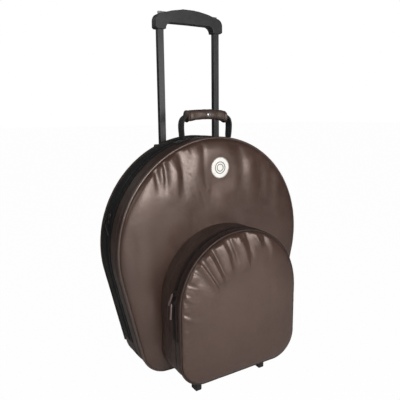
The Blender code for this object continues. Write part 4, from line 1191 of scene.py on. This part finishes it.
def turned(name, node, profile, steps, materials, slots=None):
    """A round piece on a node's rear face, from (radius, depth) pairs."""
    low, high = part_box(node)
    points = lathe(profile, ((low.x + high.x) / 2, high.y, (low.z + high.z) / 2), steps, "Y")
    rows, cols = points.shape[:2]
    caps = [list(range(0, rows * cols, cols)), list(range(cols - 1, rows * cols, cols))[::-1]]
    face_slots = None if slots is None else np.tile(np.asarray(slots, np.int32), rows)
    faces = grid_faces(rows, cols, True, False)
    return build(name, points, faces, materials, None, 35, face_slots, caps)


# Its profile from the middle of its rear to its rim, then rings inwards over its front
badge_low, badge_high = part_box("badge")
R = (badge_high.x - badge_low.x) / 2
RIM_WIDTH = 0.0026
BADGE_GROOVE = ((0.0003, -0.0018), (0.0022, -0.0021), (0.0040, -0.0021))
badge_profile = [
    (0.001, 0.0),
    (R - 0.0006, 0.0),
    (R, -0.0006),
    (R, -0.0019),
    (R - 0.0007, -0.0026),
    (R - 0.0019, -0.0026),
    (R - RIM_WIDTH, -0.0018),
]
badge_slots = [1] * 6
groove = R - RIM_WIDTH
while groove > 0.004:
    badge_profile += [(groove - step, level) for step, level in BADGE_GROOVE]
    badge_slots += [2 if groove < R * 0.6 else 0, 0, 0]
    groove -= 0.0060
badge_profile += [(0.001, -0.0023)]
badge_slots += [0]
badge = turned("badge_face", "badge", badge_profile, 96, [enamel, enamel_rim, enamel_dark], badge_slots)
dress(badge, "lid", ["badge"])


# ---------------------------------------------------------------- carry handle


def strap(name, path, half_widths, thick):
    """A flat webbing strap along (x, z) points, in the handle's plane."""
    path = np.asarray(path, float)
    runs = np.concatenate([[0], np.cumsum(np.linalg.norm(np.diff(path, axis=0), axis=1))])
    count = max(int(runs[-1] / 0.0015), 12)
    where = np.linspace(0, runs[-1], count)
    x, z = (np.interp(where, runs, path[:, k]) for k in (0, 1))
    kernel = np.ones(7) / 7
    for _ in range(3):
        x[4:-4] = np.convolve(x, kernel, "same")[4:-4]
        z[4:-4] = np.convolve(z, kernel, "same")[4:-4]
    widths = np.interp(where, runs, half_widths)
    dx, dz = np.gradient(x), np.gradient(z)
    size = np.hypot(dx, dz)
    nx, nz = -dz / size, dx / size
    ring = []
    upper = [(-1, 0.55), (-0.97, 1.0), (-0.6, 1.0), (0, 1.0), (0.6, 1.0), (0.97, 1.0), (1, 0.55)]
    shares = upper + [(wide, -up) for wide, up in upper[::-1]]
    for wide, up in shares:
        lift = up * thick / 2
        ring.append(np.stack([x + nx * lift, HANDLE_Y + wide * widths, z + nz * lift], -1))
    points = np.stack(ring, 1)
    across = np.array([wide for wide, _ in shares])[None] * widths[:, None]
    strip = np.stack(np.broadcast_arrays(where[:, None], across), -1)
    per = len(shares)
    caps = [list(range(per)), [count * per - 1 - k for k in range(per)]]
    return build(name, points, grid_faces(count, per, False, True), [webbing], strip, 45, None, caps)


HANDLE_Y = 0.0335
HANDLE_TURN_Z = 0.6983
STRAP_X = 0.0775
STRAP_HALF = 0.0137
STRAP_THICK = 0.0046
STRAP_BEND = (
    "lid",
    "carry_handle",
    (0, HANDLE_Y, HANDLE_TURN_Z - 0.010),
    (0, HANDLE_Y, HANDLE_TURN_Z + 0.014),
)
ANCHOR_TOP = BAG.half_width + 0.0016
ANCHOR_THICK = 0.0024
ANCHOR_ANGLE = math.acos(STRAP_X / BAG.half_width)
ANCHOR_SPREAD = 0.0225 / BAG.half_width
wrap_low, wrap_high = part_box("handle_wrap")


def anchor(node, side):
    """The patch that a strap's foot is sewn to, with a crossed box of stitches."""

    def on_top(angle, radius):
        return side * radius * math.cos(angle), BAG.centre + radius * math.sin(angle)

    angles = np.linspace(ANCHOR_ANGLE - ANCHOR_SPREAD, ANCHOR_ANGLE + ANCHOR_SPREAD, 24)
    path = [on_top(angle, ANCHOR_TOP - 0.00125) for angle in angles]
    patch = strap(f"{node}_patch", path, [0.0139] * 24, ANCHOR_THICK)
    dress(patch, "lid", [node])
    corners = [(-0.85, -0.0108), (0.85, -0.0108), (0.85, 0.0108)]
    corners += [(-0.85, 0.0108), (-0.85, -0.0108), (0.85, 0.0108)]
    line, outward = [], []
    for (t0, w0), (t1, w1) in zip(corners, corners[1:]):
        for share in np.linspace(0, 1, 14, endpoint=False):
            angle = ANCHOR_ANGLE + ANCHOR_SPREAD * (t0 + (t1 - t0) * share)
            x, z = on_top(angle, ANCHOR_TOP)
            line.append((x, HANDLE_Y + w0 + (w1 - w0) * share, z))
            outward.append((side * math.cos(angle), 0, math.sin(angle)))
    name = node.replace("strap_anchor", "anchor_stitches")
    dress(stitches(name, line, outward, black_thread, 0.0034, 0.0025, 0.0004, -0.0002), "lid")


def carry_strap(node, side):
    """A strap from its anchor up into the wrap; its foot bends where the handle swings."""
    foot_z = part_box(node)[0].z + 0.0008
    top_z = wrap_high.z - 0.0180
    path = [
        (STRAP_X, foot_z),
        (0.0782, foot_z + 0.010),
        (0.0797, foot_z + 0.026),
        (0.0800, foot_z + 0.040),
        (STRAP_X, foot_z + 0.052),
        (0.0715, top_z - 0.0035),
        (0.0640, top_z),
        (0.0600, top_z + 0.0005),
    ]
    half_widths = [0.0115, 0.0133] + [STRAP_HALF] * 6
    web = strap(f"{node}_web", [(side * x, z) for x, z in path], half_widths, STRAP_THICK)
    dress(web, STRAP_BEND, [node])


for side_name, side in (("left", -1), ("right", 1)):
    anchor(f"strap_anchor_{side_name}", side)
    carry_strap(f"carry_strap_{side_name}", side)


def handle_wrap():
    """The padded wrap: a flat-topped tube of vinyl, flared at its ends, sewn shut along its front."""
    half, count, around = 0.0638, 72, 48
    middle_z = (wrap_low.z + wrap_high.z) / 2 + 0.001
    rows = []
    for i in range(count):
        share = -1 + 2 * i / (count - 1)
        x = share * half
        drop = 0.0030 * share**2 + 0.0028 * float(smoothstep((share - 0.72) / 0.28))
        flare = 1 + 0.09 * abs(share) ** 8
        pinch = 1 - 0.10 * math.exp(-(((abs(share) - 0.90) / 0.045) ** 2))
        rim = 1 - 0.10 * float(smoothstep((abs(share) - 0.975) / 0.025))
        size = flare * pinch * rim
        ring = []
        for k in range(around):
            angle = math.tau * k / around
            c, s = math.cos(angle), math.sin(angle)
            wide = 0.0168 * math.copysign(abs(c) ** 0.8, c)
            tall = (0.0156 if s > 0 else 0.0162) * math.copysign(abs(s) ** 0.78, s)
            arch = 0.0042 * (1 - share**2) * (0 if s > 0 else 1) * abs(s)
            dent = 0.0012 * noise.noise(Vector((x * 60, c * 1.4, s * 1.4)))
            pucker = 0.0005 * math.sin(x * 620) * math.exp(-(((abs(share) - 0.90) / 0.08) ** 2))
            swell = dent + pucker
            y = HANDLE_Y + wide * size + swell * c
            ring.append((x, y, middle_z - drop + tall * size + arch + swell * s))
        rows.append(ring)
    points = np.array(rows)
    faces = grid_faces(count, around, False, True)
    caps = [list(range(around)), [count * around - 1 - k for k in range(around)]]
    made = build("handle_wrap_cover", points, faces, [wrap_vinyl], None, 50, None, caps)
    dress(made, "carry_handle", ["handle_wrap"])
    return points


wrap_points = handle_wrap()
for label, k in (("front", 27), ("lower", 31)):
    row = wrap_points[3:-3, k]
    core = row.copy()
    core[:, 1], core[:, 2] = HANDLE_Y, row[:, 2].mean() + 0.008
    line = stitches(f"wrap_stitches_{label}", row, row - core, seam_thread, 0.004, 0.0028, 0.00035, 0.0)
    dress(line, "carry_handle")

snap_profile = [
    (0.0006, 0.0),
    (0.0054, 0.0),
    (0.0055, -0.0004),
    (0.0046, -0.0010),
    (0.0038, -0.0009),
    (0.0030, -0.0013),
    (0.0006, -0.0015),
]
snap = turned("handle_snap_cap", "handle_snap", snap_profile, 40, [steel])
dress(snap, "carry_handle", ["handle_snap"])


# ---------------------------------------------------------------- divider


QUILT_PITCH = 0.075


def divider_sheet():
    """The quilted pad between the cymbals."""
    low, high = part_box("cymbal_divider")
    shape = Shape(0.275, 0.392, math.radians(13), low.z, 0.080)
    insets = np.array([0.0, 0.0012, 0.004, 0.009, 0.016, 0.028, 0.044, 0.060])
    middle = np.array([0, 0.36])
    rings, depths = inward_rings(shape, shape.around(0.006), insets, middle, 0.006, inward=31)
    y = (low.y + high.y) / 2
    sides = {-1: [], 1: []}
    for ring, depth in zip(rings, depths):
        full = min(depth / 0.004, 1.0)
        quilt = np.zeros(len(ring))
        for line in (ring[:, 0] + ring[:, 1], ring[:, 0] - ring[:, 1]):
            from_seam = ((line / QUILT_PITCH + 0.5) % 1 - 0.5) * QUILT_PITCH
            quilt = np.maximum(quilt, np.exp(-((from_seam / 0.004) ** 2)))
        puff = 0.0029 * math.sqrt(full) - 0.0014 * quilt * full
        for side in sides:
            sides[side].append(np.stack([ring[:, 0], y + side * puff, ring[:, 1]], -1))
    rows = np.array(sides[-1][::-1] + sides[1])
    made = bun("divider_pad", rows, [rows[0].mean(0), rows[-1].mean(0)], [lining])
    dress(made, "divider", ["cymbal_divider"])


divider_sheet()


# ---------------------------------------------------------------- wheels


TYRE_GROOVE = ((0.0300, -0.0007), (0.0300, 0.0003), (0.0291, 0.0007), (0.0291, 0.0014))


def tyre(side, centre, half):
    """The tyre, with five grooves round its tread."""
    shoulder = [(0.0198, -half), (0.0270, -half), (0.0288, -half + 0.0010), (0.0298, -half + 0.0030)]
    profile = list(shoulder)
    for k in range(5):
        at = -half + 0.0040 + k * (2 * half - 0.0080) / 4
        profile += [(radius, at + step) for radius, step in TYRE_GROOVE]
    profile += [(radius, -depth) for radius, depth in shoulder[::-1]]
    points = lathe(profile, centre, WHEEL_STEPS, "X")
    faces = grid_faces(WHEEL_STEPS, len(profile), True, True)
    tread = build(f"tyre_tread_{side}", points, faces, [tyre_rubber], None, 35)
    dress(tread, f"wheel_{side}", [f"wheel_tyre_{side}"])


def hub(side, centre, half):
    """The hub: a rim and a boss joined by six spokes."""
    verts, faces = [], []

    def add(points, its_faces):
        faces.append(its_faces + sum(len(v) for v in verts))
        verts.append(points.reshape(-1, 3))

    for inner, outer in ((0.0168, 0.0195), (0.0043, 0.0080)):
        profile = [(inner, -half), (outer, -half), (outer, half), (inner, half)]
        add(lathe(profile, centre, WHEEL_STEPS, "X"), grid_faces(WHEEL_STEPS, 4, True, True))
    block = np.array([(0, 1, 2, 3), (7, 6, 5, 4), (0, 4, 5, 1), (1, 5, 6, 2), (2, 6, 7, 3), (3, 7, 4, 0)])
    for angle in np.linspace(0, math.tau, 6, endpoint=False):
        out = np.array([math.cos(angle), math.sin(angle)])
        across = np.array([-math.sin(angle), math.cos(angle)])
        corners = []
        for reach, wide in ((0.0076, 0.0034), (0.0171, 0.0026)):
            for sx, sw in ((-1, -1), (-1, 1), (1, 1), (1, -1)):
                corners.append((sx * (half - 0.003), *(out * reach + across * wide * sw)))
        add(np.array(corners) + np.array(centre), block)
    points, faces = np.concatenate(verts), np.concatenate(faces)
    spokes = build(f"hub_spokes_{side}", points, faces, [plastic], None, 35)
    dress(spokes, f"wheel_{side}", [f"wheel_hub_{side}"])


for side_name in ("left", "right"):
    low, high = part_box(f"wheel_tyre_{side_name}")
    centre = ((low.x + high.x) / 2, (low.y + high.y) / 2, (low.z + high.z) / 2)
    tyre(side_name, centre, (high.x - low.x) / 2)
    hub(side_name, centre, (high.x - low.x) / 2)


# ---------------------------------------------------------------- finishes of the CAD nodes that stay

for material, names in (
    (plastic, ["trolley_bezel", "bottom_bracket"]),
    (plastic, ["wheel_housing_left", "wheel_housing_right", "rod_guide_left", "rod_guide_right"]),
    (grip_plastic, ["trolley_grip"]),
    (button_plastic, ["push_button"]),
    (rod_metal, ["rod_left", "rod_right", "outer_tube_left", "outer_tube_right"]),
    (steel, ["lock_fork", "axle_left", "axle_right"]),
    (steel, ["housing_screw_left", "housing_screw_right", "foot_screw_left", "foot_screw_right"]),
    (foot_rubber, ["foot_left", "foot_right"]),
    (board, ["frame_board", "pocket_base_board"]),
):
    for name in names:
        for slot in nodes[name].material_slots:
            slot.material = material


# ---------------------------------------------------------------- floor, light and camera

WHITE = (1, 1, 1, 1)


def new_tree(holder):
    holder.use_nodes = True
    holder.node_tree.nodes.clear()
    return holder.node_tree


def join(tree, operation, a, b):
    return add_node(tree, "ShaderNodeMath", {0: a, 1: b}, operation=operation).outputs[0]


def white_where(tree, share, plain, white_kind, output_kind):
    """Ends a tree with its plain shader, and with plain white for a share of the rays."""
    white = add_node(tree, white_kind, {"Color": WHITE, "Strength": 1.0})
    both = add_node(tree, "ShaderNodeMixShader", {0: share, 1: plain.outputs[0], 2: white.outputs[0]})
    add_node(tree, output_kind, {"Surface": both.outputs[0]})


floor_mesh = bpy.data.meshes.new("floor")
floor_mesh.from_pydata([(-30, -30, 0), (30, -30, 0), (30, 30, 0), (-30, 30, 0)], [], [(0, 1, 2, 3)])
floor = bpy.data.objects.new("floor", floor_mesh)
bpy.context.scene.collection.objects.link(floor)
floor_finish = bpy.data.materials.new("floor_white")
floor_tree = new_tree(floor_finish)
rays = floor_tree.nodes.new("ShaderNodeLightPath").outputs
seen = join(floor_tree, "MAXIMUM", rays["Is Camera Ray"], rays["Is Transmission Ray"])
# the rest is lit by the lamps, and keeps the bag's shadow
floor_share = join(floor_tree, "MULTIPLY", seen, 0.985)
diffuse = add_node(floor_tree, "ShaderNodeBsdfDiffuse", {"Color": (0.85, 0.85, 0.85, 1)})
white_where(floor_tree, floor_share, diffuse, "ShaderNodeEmission", "ShaderNodeOutputMaterial")
floor_mesh.materials.append(floor_finish)

world = bpy.data.worlds.new("studio")
bpy.context.scene.world = world
world_tree = new_tree(world)
rays = world_tree.nodes.new("ShaderNodeLightPath").outputs
reflected = join(world_tree, "MULTIPLY", rays["Is Glossy Ray"], 0.02)
world_share = join(world_tree, "MAXIMUM", rays["Is Camera Ray"], reflected)
dim = add_node(world_tree, "ShaderNodeBackground", {"Color": WHITE, "Strength": 0.03})
white_where(world_tree, world_share, dim, "ShaderNodeBackground", "ShaderNodeOutputWorld")


def lamp(name, place, size, power):
    """An area lamp that looks at the middle of the bag."""
    light = bpy.data.lights.new(name, "AREA")
    light.shape = "RECTANGLE"
    light.size, light.size_y = size
    light.energy = power
    made = bpy.data.objects.new(name, light)
    made.location = place
    towards = Vector((0, 0, 0.45)) - Vector(place)
    made.rotation_euler = towards.to_track_quat("-Z", "Y").to_euler()
    bpy.context.scene.collection.objects.link(made)


lamp("key", (-0.375, -2.128, 1.237), (0.9, 0.9), 27)
lamp("front", (0.548, -2.198, 0.849), (0.9, 0.6), 13)
lamp("low", (-1.146, -1.984, 0.650), (0.9, 0.9), 2.5)
lamp("left_fill", (-2.077, -0.182, 1.422), (0.9, 0.9), 5)
lamp("back_right", (1.389, 1.656, 1.237), (0.9, 0.9), 2)
lamp("back_left", (-1.211, 1.443, 1.769), (0.9, 0.9), 4)

# The view, solved from the outlines seen in the photo
EYE = (-0.7038, -1.0832, 0.7534)
yaw, pitch, roll = math.radians(31.43), math.radians(10.60), -0.0107
camera_data = bpy.data.cameras.new("camera")
camera_data.lens = 41.32
camera_data.sensor_width = 36
camera = bpy.data.objects.new("camera", camera_data)
bpy.context.scene.collection.objects.link(camera)
ahead = Vector((math.sin(yaw) * math.cos(pitch), math.cos(yaw) * math.cos(pitch), -math.sin(pitch)))
right = Vector((math.cos(yaw), -math.sin(yaw), 0))
up = right.cross(ahead)
turned_right = right * math.cos(roll) + up * math.sin(roll)
turned_up = up * math.cos(roll) - right * math.sin(roll)
axes = Matrix((turned_right, turned_up, -ahead)).transposed().to_4x4()
camera.matrix_world = Matrix.Translation(EYE) @ axes
bpy.context.scene.camera = camera
bpy.context.scene.view_settings.view_transform = "Standard"
